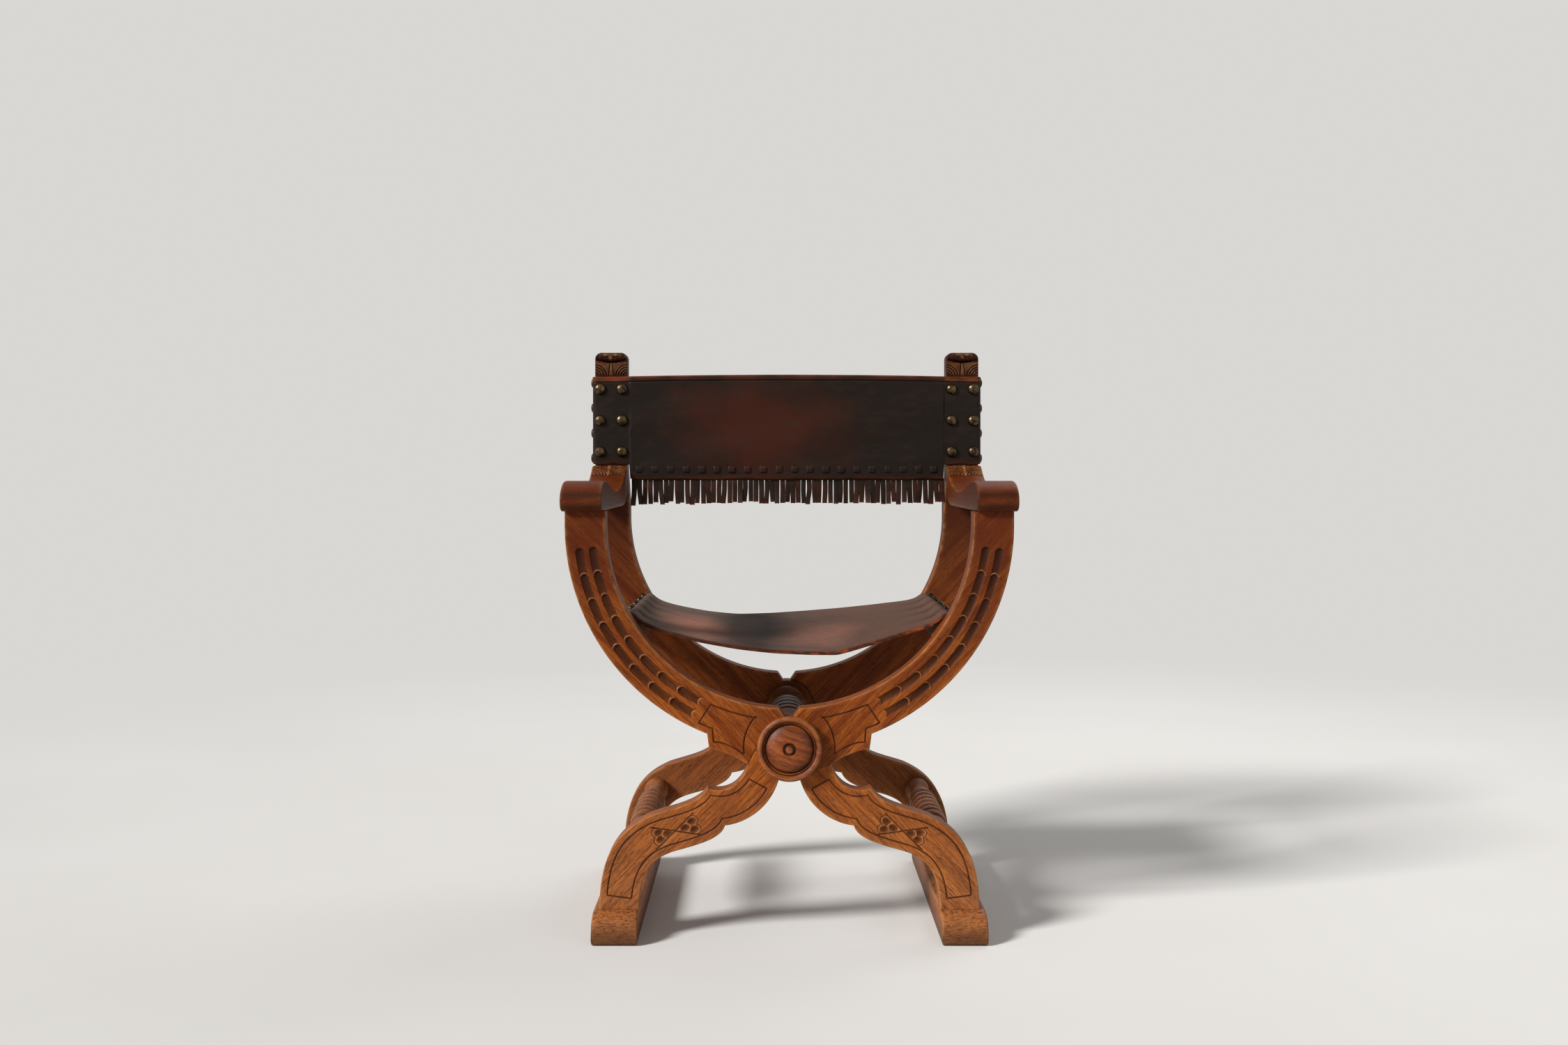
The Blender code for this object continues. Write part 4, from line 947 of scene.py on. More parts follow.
def finial_shell():
    """Rings up the left finial: a block that narrows at its top, with leaf and curl on its front."""
    shoulder = POST_TOP - FINIAL_CROWN
    crown = shoulder + FINIAL_CROWN * np.sin(np.linspace(0.15, 1.5, 9))
    z = np.concatenate([np.linspace(FINIAL_FOOT, shoulder, 84), crown])[:, None]
    above = z - (POST_TOP - FINIAL_CORNER)
    rounding = FINIAL_CORNER - np.sqrt(np.maximum(FINIAL_CORNER**2 - above**2, 0))
    inset = np.where(above > 0, rounding, 0)
    width = 2 * (FINIAL_HALF_WIDTH - inset)
    far = FACE_OUTER - 0.4 * inset
    x = FINIAL_MIDDLE - width / 2 + section(width, 0.0, EDGE_ROUND, FINIAL_COLUMNS)[0]
    face = np.s_[:, :FINIAL_COLUMNS]
    aside = np.abs(x[face] - FINIAL_MIDDLE)
    height = np.broadcast_to(z - FINIAL_FOOT, aside.shape)
    border = LEAF_HEIGHT - 0.0005 + LEAF_CORNER_RISE * (aside / FINIAL_HALF_WIDTH) ** 1.5
    undercut = bell(height - border, *UNDERCUT)
    leaf = FACE_INNER - LEAF_SWELL * np.sin(np.pi * unit(height / border))
    bulge = np.maximum(CURL_RADIUS**2 - (height + FINIAL_FOOT - CURL_MIDDLE[1]) ** 2, 0)
    curl = CURL_MIDDLE[0] - np.sqrt(bulge)
    upper = unit((height - border) / BORDER_EDGE + 0.5)
    cut, dark, worn = (
        low + upper * (high - low)
        for low, high in zip(leaf_relief(aside, height), curl_relief(aside, height))
    )
    near = np.full_like(x, FACE_INNER)
    near[face] = leaf + upper * (curl - leaf) + UNDERCUT_DEPTH * undercut + cut
    y = near + section(width, far - near, EDGE_ROUND, FINIAL_COLUMNS)[1]
    foot = fade(height, FOOT_SHADE)
    recess, wear = np.full_like(x, FINIAL_BASE_DARK), np.zeros_like(x)
    # the undercut's darkness and FOOT_SHADE are painted shade
    recess[face] = most(dark, undercut, foot)
    wear[face] = worn * (1 - undercut) * (1 - foot)
    return tube(points_at(x, y, z), recess=recess, wear=wear)


print("curl:", round(2 * CURL_RADIUS / MM), "mm across")

# %% Rear boards
PLAIN_PITCH = 0.003
PLAIN_COLUMNS = 20
REAR_SEAM_DARK = 0.8

arm_edges = in_step(arm_stretches(True), PLAIN_PITCH)
leg_edges = in_step(leg_stretches(), PLAIN_PITCH)
for name, side in SIDES:
    seam_dark = 0.0 if side < 0 else REAR_SEAM_DARK
    lap = (FACE_INNER, FRAME_MIDDLE) if side < 0 else (FRAME_MIDDLE, FACE_OUTER)
    shells = [
        board_shell(arm_edges, FACE_INNER, FACE_OUTER, PLAIN_COLUMNS, None, ARM_SEAM, seam_dark),
        board_shell(leg_edges, FACE_INNER, FACE_OUTER, PLAIN_COLUMNS),
        knuckle_shell(*lap),
        finial_shell(),
    ]
    nodes = [f"rear_{name}_member"]
    place_piece(f"rear_{name}_board", nodes, ARM_BODY[name], on_side(shells, side), rear_oak[name])

# %% [markdown]
# ## Armrests and runners
#
# Both are bars shaped mostly in side view. A bar is lofted along its length: at each station its section is
# a rectangle with rubbed corners between a lower and an upper line. The armrest rolls over in front, dips,
# and rises to the post, where a small leaf is carved on its top.

# %% Bars along the chair's depth
SIDE_SHADE_REACH = 0.002
FULL_WEAR = 0.012  # a thinner bar is rubbed less
MOST_ROUND = 0.45  # share of a thin bar's thickness that a corner may take


def bar_shell(y, low, high, sides, edge, columns, relief=None, painted_shade=0.0, side_shade=0.0):
    """Rings at stations y: a rounded section from low to high between two sides, its top cut by a relief.

    Painted shade darkens a whole ring, and side shade, also painted, its right side. Stations and all that
    goes with them are columns."""
    left, right = sides
    thickness = high - low
    across, down = section(right - left, thickness, np.minimum(edge, MOST_ROUND * thickness), columns)
    x, z = left + across, high - down
    recess = np.maximum(painted_shade, side_shade * bell(x, right, SIDE_SHADE_REACH))
    face = np.s_[:, :columns]
    worn = 0.0
    if relief is not None:
        cut, dark, worn = relief(x[face] - (left + right) / 2, y)
        z[face] -= cut
        recess[face] = np.maximum(recess[face], dark)
    from_side = np.minimum(x - left, right - x) + np.minimum(high - z, z - low)
    wear = fade(np.maximum(from_side, 0), WEAR_REACH) * unit(thickness / FULL_WEAR)
    wear[face] = np.maximum(wear[face], worn)
    return tube(points_at(x, y, z), recess=recess, wear=wear)


HAIR = 0.0003  # keeps two faces that meet from sharing a plane
ARMREST_NOSE, ARMREST_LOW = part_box("left_armrest")[0][1:]
ARMREST_REAR = FACE_INNER - HAIR
ARMREST_LEFT = -(ARM_OUTER + 0.005)
ARMREST_SIDES = (ARMREST_LEFT, ARMREST_LEFT + 0.060)


def armrest_lines(y):
    """Lower and upper line of an armrest at the stations y, each a run of cubic curves."""
    tip = (ARMREST_NOSE, ARMREST_LOW + 0.016)
    crest = (ARMREST_NOSE + 0.060, ARMREST_LOW + 0.044)
    waist = ((crest[0] + ARMREST_REAR) / 2, ARMREST_LOW + 0.026)
    rear = (ARMREST_REAR, ARMREST_LOW + 0.066)
    lip = (ARMREST_NOSE + 0.012, ARMREST_LOW)
    foot = (ARMREST_REAR - 0.080, ARMREST_LOW)
    upper = np.concatenate([
        curve_line(tip, (0, 0.018), (-0.034, 0), crest),
        curve_line(crest, (0.070, 0), (-0.070, 0), waist),
        curve_line(waist, (0.085, 0), (-0.040, -0.024), rear),
    ])
    lower = np.concatenate([
        curve_line(tip, (0, -0.010), (-0.008, 0), lip),
        curve_line(foot, (0.035, 0), (-0.004, -0.014), (ARMREST_REAR, ARMREST_LOW + 0.022)),
    ])
    return [np.interp(y, line[:, 0], line[:, 1]) for line in (lower, upper)]


print("armrest:", round(ARMREST_REAR - ARMREST_NOSE, 3), "m long")

# %% Armrests
LEAF_START = ARMREST_REAR - 0.032
SCALLOP = (0.0025, 0.0045)  # depth, and the length of a radian
SCROLL_CORNER = (0.0260, -0.0010)
SCROLL_PITCH = 0.0052
SCROLL_RIB = 0.0016
EYE = ((0.0115, 0.0225), 0.0020)
FRONT_STEP = (0.0014, 0.0012)  # half width and depth of the groove before the leaf
LEAF_RISE = 0.0010
ARMREST_EDGE = 0.0032
ARMREST_COLUMNS = 60
NOSE_ROUND = 0.012
NOSE_SHADE_BAND = (0.024, 0.006)  # painted shade on the nose: height over the underside, and half width


def armrest_leaf(across, y):
    """A leaf on the rise to the post: arcs round its front corners, a rib, two eyes, a scalloped edge."""
    along = y - LEAF_START + SCALLOP[0] * np.cos(across / SCALLOP[1])
    aside = np.abs(across)
    corner = np.hypot(aside - SCROLL_CORNER[0], along - SCROLL_CORNER[1])
    arcs = waves(corner, SCROLL_PITCH) ** VEIN_POWER * unit((aside - SCROLL_RIB) / 0.001)
    arcs = np.maximum(arcs, round_bell(aside, along, *EYE))
    inside = unit(along / 0.002)
    step = bell(along, 0, FRONT_STEP[0])
    cut = inside * VEIN_DEPTH * arcs + FRONT_STEP[1] * step - LEAF_RISE * inside
    dark = np.maximum(inside * (0.15 + 0.8 * arcs), 0.95 * step)
    # the leaf's wear is also a painted highlight
    return cut, dark, 0.8 * inside * (1 - arcs) ** 3 * (1 - step)


nose = ARMREST_NOSE + NOSE_ROUND * (1 - np.cos(np.linspace(0.02, np.pi / 2, 18)))
stations = np.concatenate([nose, np.linspace(nose[-1], ARMREST_REAR, 260)[1:]])[:, None]
low, high = armrest_lines(stations)
# painted shade: a dark band round the nose, and along the inner side, deepest at the front
painted_shade = 0.75 * bell(high - ARMREST_LOW, *NOSE_SHADE_BAND) * (stations < ARMREST_NOSE + 0.03)
side_shade = 0.75 - 0.45 * unit((stations - ARMREST_NOSE) / 0.30)
shape = (stations, low, high, ARMREST_SIDES, ARMREST_EDGE, ARMREST_COLUMNS)
bar = bar_shell(*shape, armrest_leaf, painted_shade, side_shade)
for name, side in SIDES:
    place_piece(f"{name}_arm_top", [f"{name}_armrest"], ARM_BODY[name], on_side([bar], side), oak_long)

# %% Runners
runner_low, runner_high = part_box("right_runner")
RUNNER_SIDES = (runner_low[0], runner_high[0])
RUNNER_END, RUNNER_TOP = runner_high[1:]
RUNNER_HEEL = 0.004
RUNNER_EDGE = 0.004
RUNNER_COLUMNS = 30

nose_line = curve_line((RUNNER_END, 0.014), (0, 0.020), (0.016, 0), (FACE_OUTER, RUNNER_TOP))
nose = RUNNER_END - (RUNNER_END - FACE_OUTER) * np.linspace(0, 1, 40) ** 1.7
half = np.concatenate([nose, np.linspace(FACE_OUTER, 0, 40)[1:]])
stations = np.concatenate([half, -half[-2::-1]])[:, None]
reach = np.abs(stations)
high = np.interp(reach, nose_line[::-1, 0], nose_line[::-1, 1])
low = np.maximum(reach - RUNNER_END + RUNNER_HEEL, 0)
bar = bar_shell(stations, low, high, RUNNER_SIDES, RUNNER_EDGE, RUNNER_COLUMNS)
for name, side in SIDES:
    shells = on_side([bar], -side)
    place_piece(f"{name}_foot_runner", [f"{name}_runner"], LEG_BODY[name], shells, oak_runner)

# %% [markdown]
# ## Turned pieces
#
# The stretchers and bosses come off a lathe, so each is one profile carried round an axis. Grooves between
# the beads hold dark wax, and their crowns are rubbed. Painted shade darkens each stretcher all over, the
# centre one most.

# %% Stretchers
TURNED_COLUMNS = 56
STRETCHER_END = FACE_INNER - HAIR
STRETCHER_PLACE = PIVOT + (0.221, -0.141)
FLANGE_DEPTH = 0.011
NECK_DEPTH = 0.038
SWELL_LENGTH = 0.056
SWELL_RISE = 0.004
GROOVE_HALF_WIDTH = 0.0058
GROOVE_DEPTH = 0.006
CROWN_RISE = 0.0012
RIM_ROUND = (0.0022, 0.0012)  # depth and reach
FLANGE_SHADE = (0.0125, 0.0022)  # middle and half width


def turned_shell(radius, y, middle, recess, wear):
    """A profile of radii at stations y carried round an axis along y: middle + radius (cos a, sin a)."""
    angle = np.linspace(0, 2 * np.pi, TURNED_COLUMNS, endpoint=False)
    x = middle[0] + radius[:, None] * np.cos(angle)
    z = middle[1] + radius[:, None] * np.sin(angle)
    return tube(points_at(x, y[:, None], z), recess=recess[:, None], wear=wear[:, None])


def eased(value, start, end):
    """0 before start, 1 after end, and a half wave between them."""
    return 0.5 - 0.5 * np.cos(np.pi * unit((value - start) / (end - start)))


def stretcher_shell(middle, flange, neck, bead, pitch, rings, shoulder, painted_shade):
    """Flange, neck, swelling and a row of beads with grooves between them, the same from both ends."""
    y = np.linspace(-STRETCHER_END, STRETCHER_END, 420)
    depth = STRETCHER_END - np.abs(y)
    groove_places = pitch * (np.arange(rings) - (rings - 1) / 2)
    gap = np.abs(y[:, None] - groove_places).min(axis=1)
    groove = unit(1 - (gap / GROOVE_HALF_WIDTH) ** 2) ** 0.7
    radius = flange + (neck - flange) * eased(depth, FLANGE_DEPTH, NECK_DEPTH)
    radius = radius + (bead - SWELL_RISE - neck) * eased(depth, NECK_DEPTH, shoulder)
    radius = radius + SWELL_RISE * eased(depth, shoulder, shoulder + SWELL_LENGTH)
    radius = radius + CROWN_RISE * (np.abs(y) < groove_places[-1]) * np.sin(np.pi * gap / pitch)
    rim = np.minimum(depth, np.abs(depth - FLANGE_DEPTH))
    radius = radius - RIM_ROUND[0] * fade(rim, RIM_ROUND[1]) - GROOVE_DEPTH * groove
    dark = most(groove**0.6, painted_shade, bell(depth, *FLANGE_SHADE))
    wear = 0.35 * unit(gap / pitch * 3 - 0.6) * (1 - dark)
    return turned_shell(radius, y, middle, dark, wear)


# painted_shade darkens a whole stretcher, the centre one most
side_sizes = dict(flange=0.020, neck=0.010, bead=0.021, pitch=0.029, rings=8, shoulder=0.066, painted_shade=0.15)
centre_sizes = dict(flange=0.036, neck=0.0155, bead=0.034, pitch=0.037, rings=4, shoulder=0.078, painted_shade=0.62)
for name, side in SIDES:
    shells = [stretcher_shell(STRETCHER_PLACE * (side, 1), **side_sizes)]
    place_piece(f"{name}_turned_stretcher", [f"{name}_stretcher"], LEG_BODY[name], shells, oak_turned)
shells = [stretcher_shell(PIVOT, **centre_sizes)]
place_piece("centre_turned_stretcher", ["centre_stretcher"], ARM_BODY["left"], shells, oak_turned)

# %% Front boss
BOSS_FACE = FACE_OUTER + HAIR
BOSS_GROOVES = ((0.0075, 0.0018, 1.0), (0.0350, 0.0010, 1.0), (0.0386, 0.0006, 0.8))  # radius, width, dark
BOSS_CROWNS = ((0.0440, 0.0025, 1.0), (0.0025, 0.002, 0.6))  # radius, width, wear
DOME_EDGE = 0.0345

front_profile = evenly(np.concatenate([  # radius and height, from the middle out
    [(0.0004, 0.0235), (0.0025, 0.0233)],
    arc_line((0.0032, 0.0212), 0.0021, 80, 0, 8),
    curve_line((0.0058, 0.0178), (0.001, -0.0012), (-0.001, -0.0012), (0.0088, 0.0186), 10),
    curve_line((0.0102, 0.0204), (0.009, 0.0004), (0.0, 0.0042), (0.0342, 0.0108), 30),
    [(0.0346, 0.0088), (0.0355, 0.0086)],
    curve_line((0.0362, 0.0106), (0.0002, 0.0014), (-0.0004, 0.0010), (0.0384, 0.0108), 8),
    arc_line((0.04300, 0.01280), 0.00450, 165, -40, 30),
    [(0.0445, 0.0)],
]), 240)
radius, height = front_profile.T
dome_shade = 0.5 * fade(np.maximum(DOME_EDGE - radius, 0), 0.004) * (radius < BOSS_GROOVES[1][0])
# hollow holds the grooves' dark wax and the dome's painted shade
hollow = most(dome_shade, *(dark * bell(radius, middle, width) for middle, width, dark in BOSS_GROOVES))
rubbed = 0.35 * most(*(wear * bell(radius, middle, width) for middle, width, wear in BOSS_CROWNS))
shell = turned_shell(radius, -BOSS_FACE - height, PIVOT, 0.95 * hollow, rubbed * (1 - hollow))
place_piece("front_pivot_boss", ["front_boss"], ARM_BODY["left"], [shell], oak_boss)

# %% Rear boss and seat rails
REAR_RING = (0.024, 0.0012)  # radius and half width of a turned groove
REAR_RING_DEPTH = 0.0012

dome = curve_line((0.0004, 0.018), (0.020, 0), (0, 0.007), (0.036, 0.006), 40)
radius, height = evenly(np.concatenate([dome, [(0.036, 0.0)]]), 60).T
ring = bell(radius, *REAR_RING)
y = BOSS_FACE + height - REAR_RING_DEPTH * ring
shell = turned_shell(radius, y, PIVOT, 0.8 * ring, np.zeros_like(ring))
place_piece("rear_pivot_boss", ["rear_boss"], ARM_BODY["left"], [shell], front_oak["right"])
for name, _ in SIDES:
    frame["nodes"][f"{name}_seat_rail"].material_slots[0].material = oak_long
print("seat rails keep their solids under the leather")

# %% [markdown]
# ## Seat
#
# The seat is one hide hung between the rails. It has stretched: its front edge hangs lowest right of the
# middle, its rear edge left of it, and small folds run in from the nails. A cloth solver would have to
# guess all that, so the sag is written down: in each row the height rises from the lowest point to each
# rail as a power of the distance, and the lowest point wanders from row to row.

# %% Rows of the seat
RAIL_ANGLE = math.radians(34)
RAIL_OUT = np.array([math.cos(RAIL_ANGLE), -math.sin(RAIL_ANGLE)])
RAIL_UP = np.array([math.sin(RAIL_ANGLE), math.cos(RAIL_ANGLE)])
RAIL_INNER = 0.266
RAIL_OUTER = 0.3233
RAIL_TOP = 0.0203
LEATHER = 0.0035
SEAT_WRAP = 0.026
SEAT_DROP = 0.011  # over the rail's inner edge
DROP_REACH = 0.008
PLEAT_HEIGHT = 0.0034
PLEAT_REACH = 0.022
SEAT_EDGE = FACE_INNER - 0.002
SEAT_COLUMNS = 261
SEAT_NAIL_END = FACE_INNER - 0.030
SAG = (  # at the front edge, and the change to the rear edge
    (0.070, -0.150),  # the lowest point's x
    (0.4105, 0.0225),  # its height
    (2.35, -0.75),  # the power of the rise to the left rail
    (1.05, 0.5),  # and to the right one
)


def rail_point(radius, lift):
    """A point by the right rail, from its distance out along the slope and height over the middle."""
    return ARC_CENTRE + radius * RAIL_OUT + lift * RAIL_UP


def softened(line, kernel):
    """The line with its corners eased: each point becomes a weighted mean of itself and its neighbours."""
    weights = np.array(kernel) / sum(kernel)
    edge = len(kernel) // 2
    padded = np.concatenate([np.repeat(line[:1], edge, 0), line, np.repeat(line[-1:], edge, 0)])
    eased_line = np.stack([np.convolve(padded[:, k], weights, "valid") for k in (0, 1)], axis=1)
    eased_line[[0, -1]] = line[[0, -1]]
    return eased_line


def left_of(line):
    """Unit vectors square to a line of points in a plane, on its left."""
    slope = np.gradient(line, axis=-2)
    turned = np.stack([-slope[..., 1], slope[..., 0]], axis=-1)
    return turned / np.linalg.norm(slope, axis=-1, keepdims=True)


def between_nails(y):
    """1 half way between two seat nails, falling as a cosine to 0 well before either."""
    return unit(-np.cos(4 * np.pi * y / SEAT_NAIL_END))


def seat_row(share, y):
    """Underside of the sling at one depth: rail sides and tops, powers of the distance from a low point."""
    ridge = rail_point(RAIL_INNER, RAIL_TOP)
    low_x, low_z, left_power, right_power = (start + change * share for start, change in SAG)
    x = np.linspace(-ridge[0], ridge[0], 161)
    span = np.where(x < low_x, -ridge[0] - low_x, ridge[0] - low_x)
    power = np.where(x < low_x, left_power, right_power)
    from_ridge = ridge[0] - np.abs(x)
    sag = (ridge[1] - SEAT_DROP - low_z) * ((x - low_x) / span) ** power
    z = low_z + sag + SEAT_DROP * fade(from_ridge, DROP_REACH)
    valley = between_nails(y) ** 2
    z = z + PLEAT_HEIGHT * (0.7 - 2 * valley) * fade(from_ridge, PLEAT_REACH) * unit(from_ridge / 0.004)
    wrap = np.stack([rail_point(RAIL_OUTER, RAIL_TOP), rail_point(RAIL_OUTER, RAIL_TOP - SEAT_WRAP)])
    line = np.concatenate([wrap[::-1] * (-1, 1), np.stack([x, z], axis=1), wrap])
    return softened(evenly(line, SEAT_COLUMNS), (1, 2, 3, 4, 3, 2, 1))


print("seat's front edge is lowest at", round(seat_row(0.0, -SEAT_EDGE)[:, 1].min(), 3), "m")

# %% Seat
SEAT_HEM = 0.0018  # how much the turned front edge hangs lower
HEM_REACH = 0.006
CUT_ROUND = 0.0018
EDGE_WAVES = ((0.0011, 47, 0.0), (0.0008, 113, 1.0))  # height, radians in a metre, start
FOLD_PLACE = 0.010  # from the rail's inner edge
FOLD_REACH = 0.016

margins = np.array([0.0, 0.0008, 0.0018, 0.004])
inner_rows = np.linspace(0.008, 2 * SEAT_EDGE - 0.008, 72)
rows = np.concatenate([margins, inner_rows, (2 * SEAT_EDGE - margins)[::-1]])
under = np.stack([seat_row(row / (2 * SEAT_EDGE), row - SEAT_EDGE) for row in rows])
upward = left_of(under)
from_cut = np.minimum(rows, 2 * SEAT_EDGE - rows)[:, None]
thickness = LEATHER * (0.55 + 0.45 * np.sqrt(unit(from_cut / CUT_ROUND)))
top = under + upward * thickness[..., None]
hem = SEAT_HEM * bell(rows, 0, HEM_REACH)
under = under - upward * hem[:, None, None] * (np.abs(under[..., :1]) < RAIL_INNER * 0.8)
across = under[..., 0]
wave = sum(height * np.sin(across * pace + start) for height, pace, start in EDGE_WAVES)
y = (rows - SEAT_EDGE)[:, None] + wave * fade(from_cut, 0.03)
from_ridge = rail_point(RAIL_INNER, RAIL_TOP)[0] - np.abs(across)
# painted shade in the folds between the nails
fold = 0.95 * between_nails(y) ** 4 * fade(np.abs(from_ridge - FOLD_PLACE), FOLD_REACH)
faces = (points_at(line[..., 0], y, line[..., 1]) for line in (top, under))
shell = slab(*faces, edge=fade(from_cut, 0.0022), fold=fold)
seat = make_piece("seat_hide", [shell], seat_leather)
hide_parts("seat_leather")
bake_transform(seat)

# %% [markdown]
# ## Back
#
# One hide crosses the posts and wraps round them. It hangs lower between the posts than on them, where a
# cuff is nailed on. The sheet is a path in plan carried up between a lower and an upper line. Its top is a
# turned hem with a crease under it.

# %% Outline of the back
PANEL_TOP = FINIAL_FOOT - 0.002
PANEL_LOW = 0.6653
CUFF_LOW = 0.6905
PANEL_HALF_WIDTH = 0.2660
CUFF_GAP = 0.0016
BACK_RETURN = 0.036
BACK_CROWN = 0.0035
CROWN_HALF_WIDTH = 0.30
PANEL_COLUMNS = 190
SKIN_SIDE = ARM_OUTER + HAIR
SKIN_REAR = FACE_OUTER + HAIR
SKIN_FRONT = FACE_INNER - HAIR

round_post = [(PANEL_HALF_WIDTH + CUFF_GAP, SKIN_FRONT), (SKIN_SIDE, SKIN_FRONT), (SKIN_SIDE, SKIN_REAR)]
flank = evenly(round_post + [(ARM_OUTER - BACK_RETURN, SKIN_REAR)], 72)
middle = np.full((PANEL_COLUMNS, 2), SKIN_FRONT)
middle[:, 0] = np.linspace(-PANEL_HALF_WIDTH, PANEL_HALF_WIDTH, PANEL_COLUMNS)
plan = softened(np.concatenate([flank[::-1] * (-1, 1), middle, flank]), (1, 2, 1))
outward = -left_of(plan)
across = plan[:, 0]
cuff_line = CUFF_LOW + 0.0009 * np.cos(across * 150) * (plan[:, 1] < FACE_INNER)
panel_line = PANEL_LOW + 0.0006 * np.sin(across * 61)
lower_line = np.where(np.abs(across) <= PANEL_HALF_WIDTH + 0.0001, panel_line, cuff_line)
upper_line = PANEL_TOP + BACK_CROWN * unit(1 - (across / CROWN_HALF_WIDTH) ** 2)
tall = upper_line - lower_line

# %% Back
HEM = 0.0095
HEM_SWELL = 0.0007
CREASE_DEPTH = 0.0009
CREASE_HALF_WIDTH = 0.0012
RIPPLES = ((0.0007, 31, 40), (0.0006, 17, -75))  # height, radians in a metre across and up
RIPPLE_LIFT = 0.0013

margins = np.array([0.0, 0.006, 0.014, 0.03])
share = [margins, np.linspace(0.05, 0.90, 44), np.linspace(0.912, 0.985, 16), 1 - margins[2::-1] / 2]
z = lower_line + np.concatenate(share)[:, None] * tall
from_top = upper_line - z
from_low = z - lower_line
crease = bell(from_top, HEM, CREASE_HALF_WIDTH)
hem = unit((HEM - from_top) / 0.0015)
ripple = sum(height * np.sin(across * aside + z * up) for height, aside, up in RIPPLES)
ripple = 0.8 * np.maximum(ripple + RIPPLE_LIFT, 0) * (np.abs(across) < POST_INNER - 0.004)
swell = LEATHER + HEM_SWELL * hem - CREASE_DEPTH * crease
swell = swell * (0.6 + 0.4 * np.sqrt(unit(np.minimum(from_top, from_low) / 0.0025)))
skin = plan + outward * ripple[..., None]
face = plan + outward * (swell + ripple)[..., None]
on_post = unit((np.abs(across) - PANEL_HALF_WIDTH) / 0.004)
hem_wear = (0.12 + 0.68 * on_post) * hem * (1 - crease)
edge = most(hem_wear, 0.7 * fade(from_low, 0.0020), fade(from_top, 0.0026))
faces = (points_at(line[..., 0], line[..., 1], z) for line in (face, skin))
back = make_piece("back_hide", [slab(*faces, edge=edge)], back_leather)
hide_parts("back_leather")

# %% [markdown]
# ### Lacing and fringe
#
# A flat thong is laced through the hide and the fringe behind it, so short cushions of it show in a row.
# The fringe is a strip of the same leather cut by hand into tails of uneven width and length. Random
# numbers with a fixed seed stand for the hand.

# %% Lacing
HAND = np.random.default_rng(11)
LACING_COUNT = 20
LACING_HEIGHT = PANEL_LOW + 0.0160
FRINGE_HALF_WIDTH = 0.2635
FRINGE_THICKNESS = 0.0025
STITCH_HALF = np.array([0.0062, 0.0060])
STITCH_LIFT = 0.0010
FRONT_BULGE = 0.0022
REAR_BULGE = 0.0010
LACE_PITCH = 2 * FRINGE_HALF_WIDTH / LACING_COUNT
LOOP_ANGLE = np.linspace(0, 2 * np.pi, 16, endpoint=False)


def blunted(wave, power):
    """A sine or cosine with its size raised to a power below 1, so a round turns squarer."""
    return np.sign(wave) * np.abs(wave) ** power


def stitch_shell(x, y, half, bulge, tilt):
    """A cushion of thong: rings along it, each a flattened round whose height falls at its two ends, with a
    painted highlight on its upper right.
    """
    along = np.linspace(-1, 1, 11)[:, None]
    taper = np.sqrt(np.clip(1.06 - np.abs(along) ** 3.5, 0.02, 1))
    run = along * half[0]
    up = blunted(np.sin(LOOP_ANGLE), 0.5) * half[1] * (0.9 + 0.1 * taper)
    rings = points_at(
        x + run * math.cos(tilt) - up * math.sin(tilt),
        y + blunted(np.cos(LOOP_ANGLE), 0.7) * bulge * taper,
        LACING_HEIGHT + run * math.sin(tilt) + up * math.cos(tilt),
    )
    # the edge mark here is a painted highlight
    return tube(rings, edge=0.22 * unit(up / half[1] + 0.3 * run / half[0]) ** 3)


stitches = []
for number in range(LACING_COUNT):
    x = -FRINGE_HALF_WIDTH + (number + 0.5) * LACE_PITCH + HAND.normal(0, 0.0007)
    half = STITCH_HALF * HAND.uniform(0.92, 1.06, 2)
    tilt = HAND.normal(0, 0.05)
    stitches.append(stitch_shell(x, SKIN_FRONT - LEATHER - STITCH_LIFT, half, FRONT_BULGE, tilt))
half = np.array([LACE_PITCH / 2 - 0.0052, STITCH_HALF[1]])
for number in range(1, LACING_COUNT):
    x = -FRINGE_HALF_WIDTH + number * LACE_PITCH
    stitches.append(stitch_shell(x, FACE_INNER + FRINGE_THICKNESS + STITCH_LIFT, half, REAR_BULGE, 0.0))
lacing = make_piece("back_thong", stitches, back_leather)
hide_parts("back_lacing")

# %% Fringe
FRINGE_BAND = 0.030
FRINGE_LENGTH = 0.042
FRINGE_STRIP = 0.0090
TAIL_EDGE = 0.0005
TAIL_WIDTHS = (0.0081, 0.0092)
TAIL_BENDS = (0.0012, 0.0016, 0.0005)  # usual lean, curl and sway at the tip


def tail_shell(x, width, length, lean, curl, sway, bare):
    """A cut tail: rounded sections that lean and curl as the square of the way down, and sway."""
    down = np.linspace(0, 1, 12)[:, None]
    wide = width * (1 - 0.06 * down**3)
    thick = FRINGE_THICKNESS * (0.8 - 0.2 * down)
    across, through = section(wide, thick, TAIL_EDGE, 3, 3)
    across = across - wide / 2
    rings = points_at(
        x + across + lean * down**2 + sway * np.sin(np.pi * 1.6 * down) * down,
        FACE_INNER + 0.0002 + through + curl * down**2 * (across / width + 0.6),
        PANEL_LOW + 0.001 - length * down + 0.0006 * np.cos(9 * across / width) * down,
    )
    return tube(rings, edge=np.maximum(0.4 * fade(1 - down, 0.05), bare))


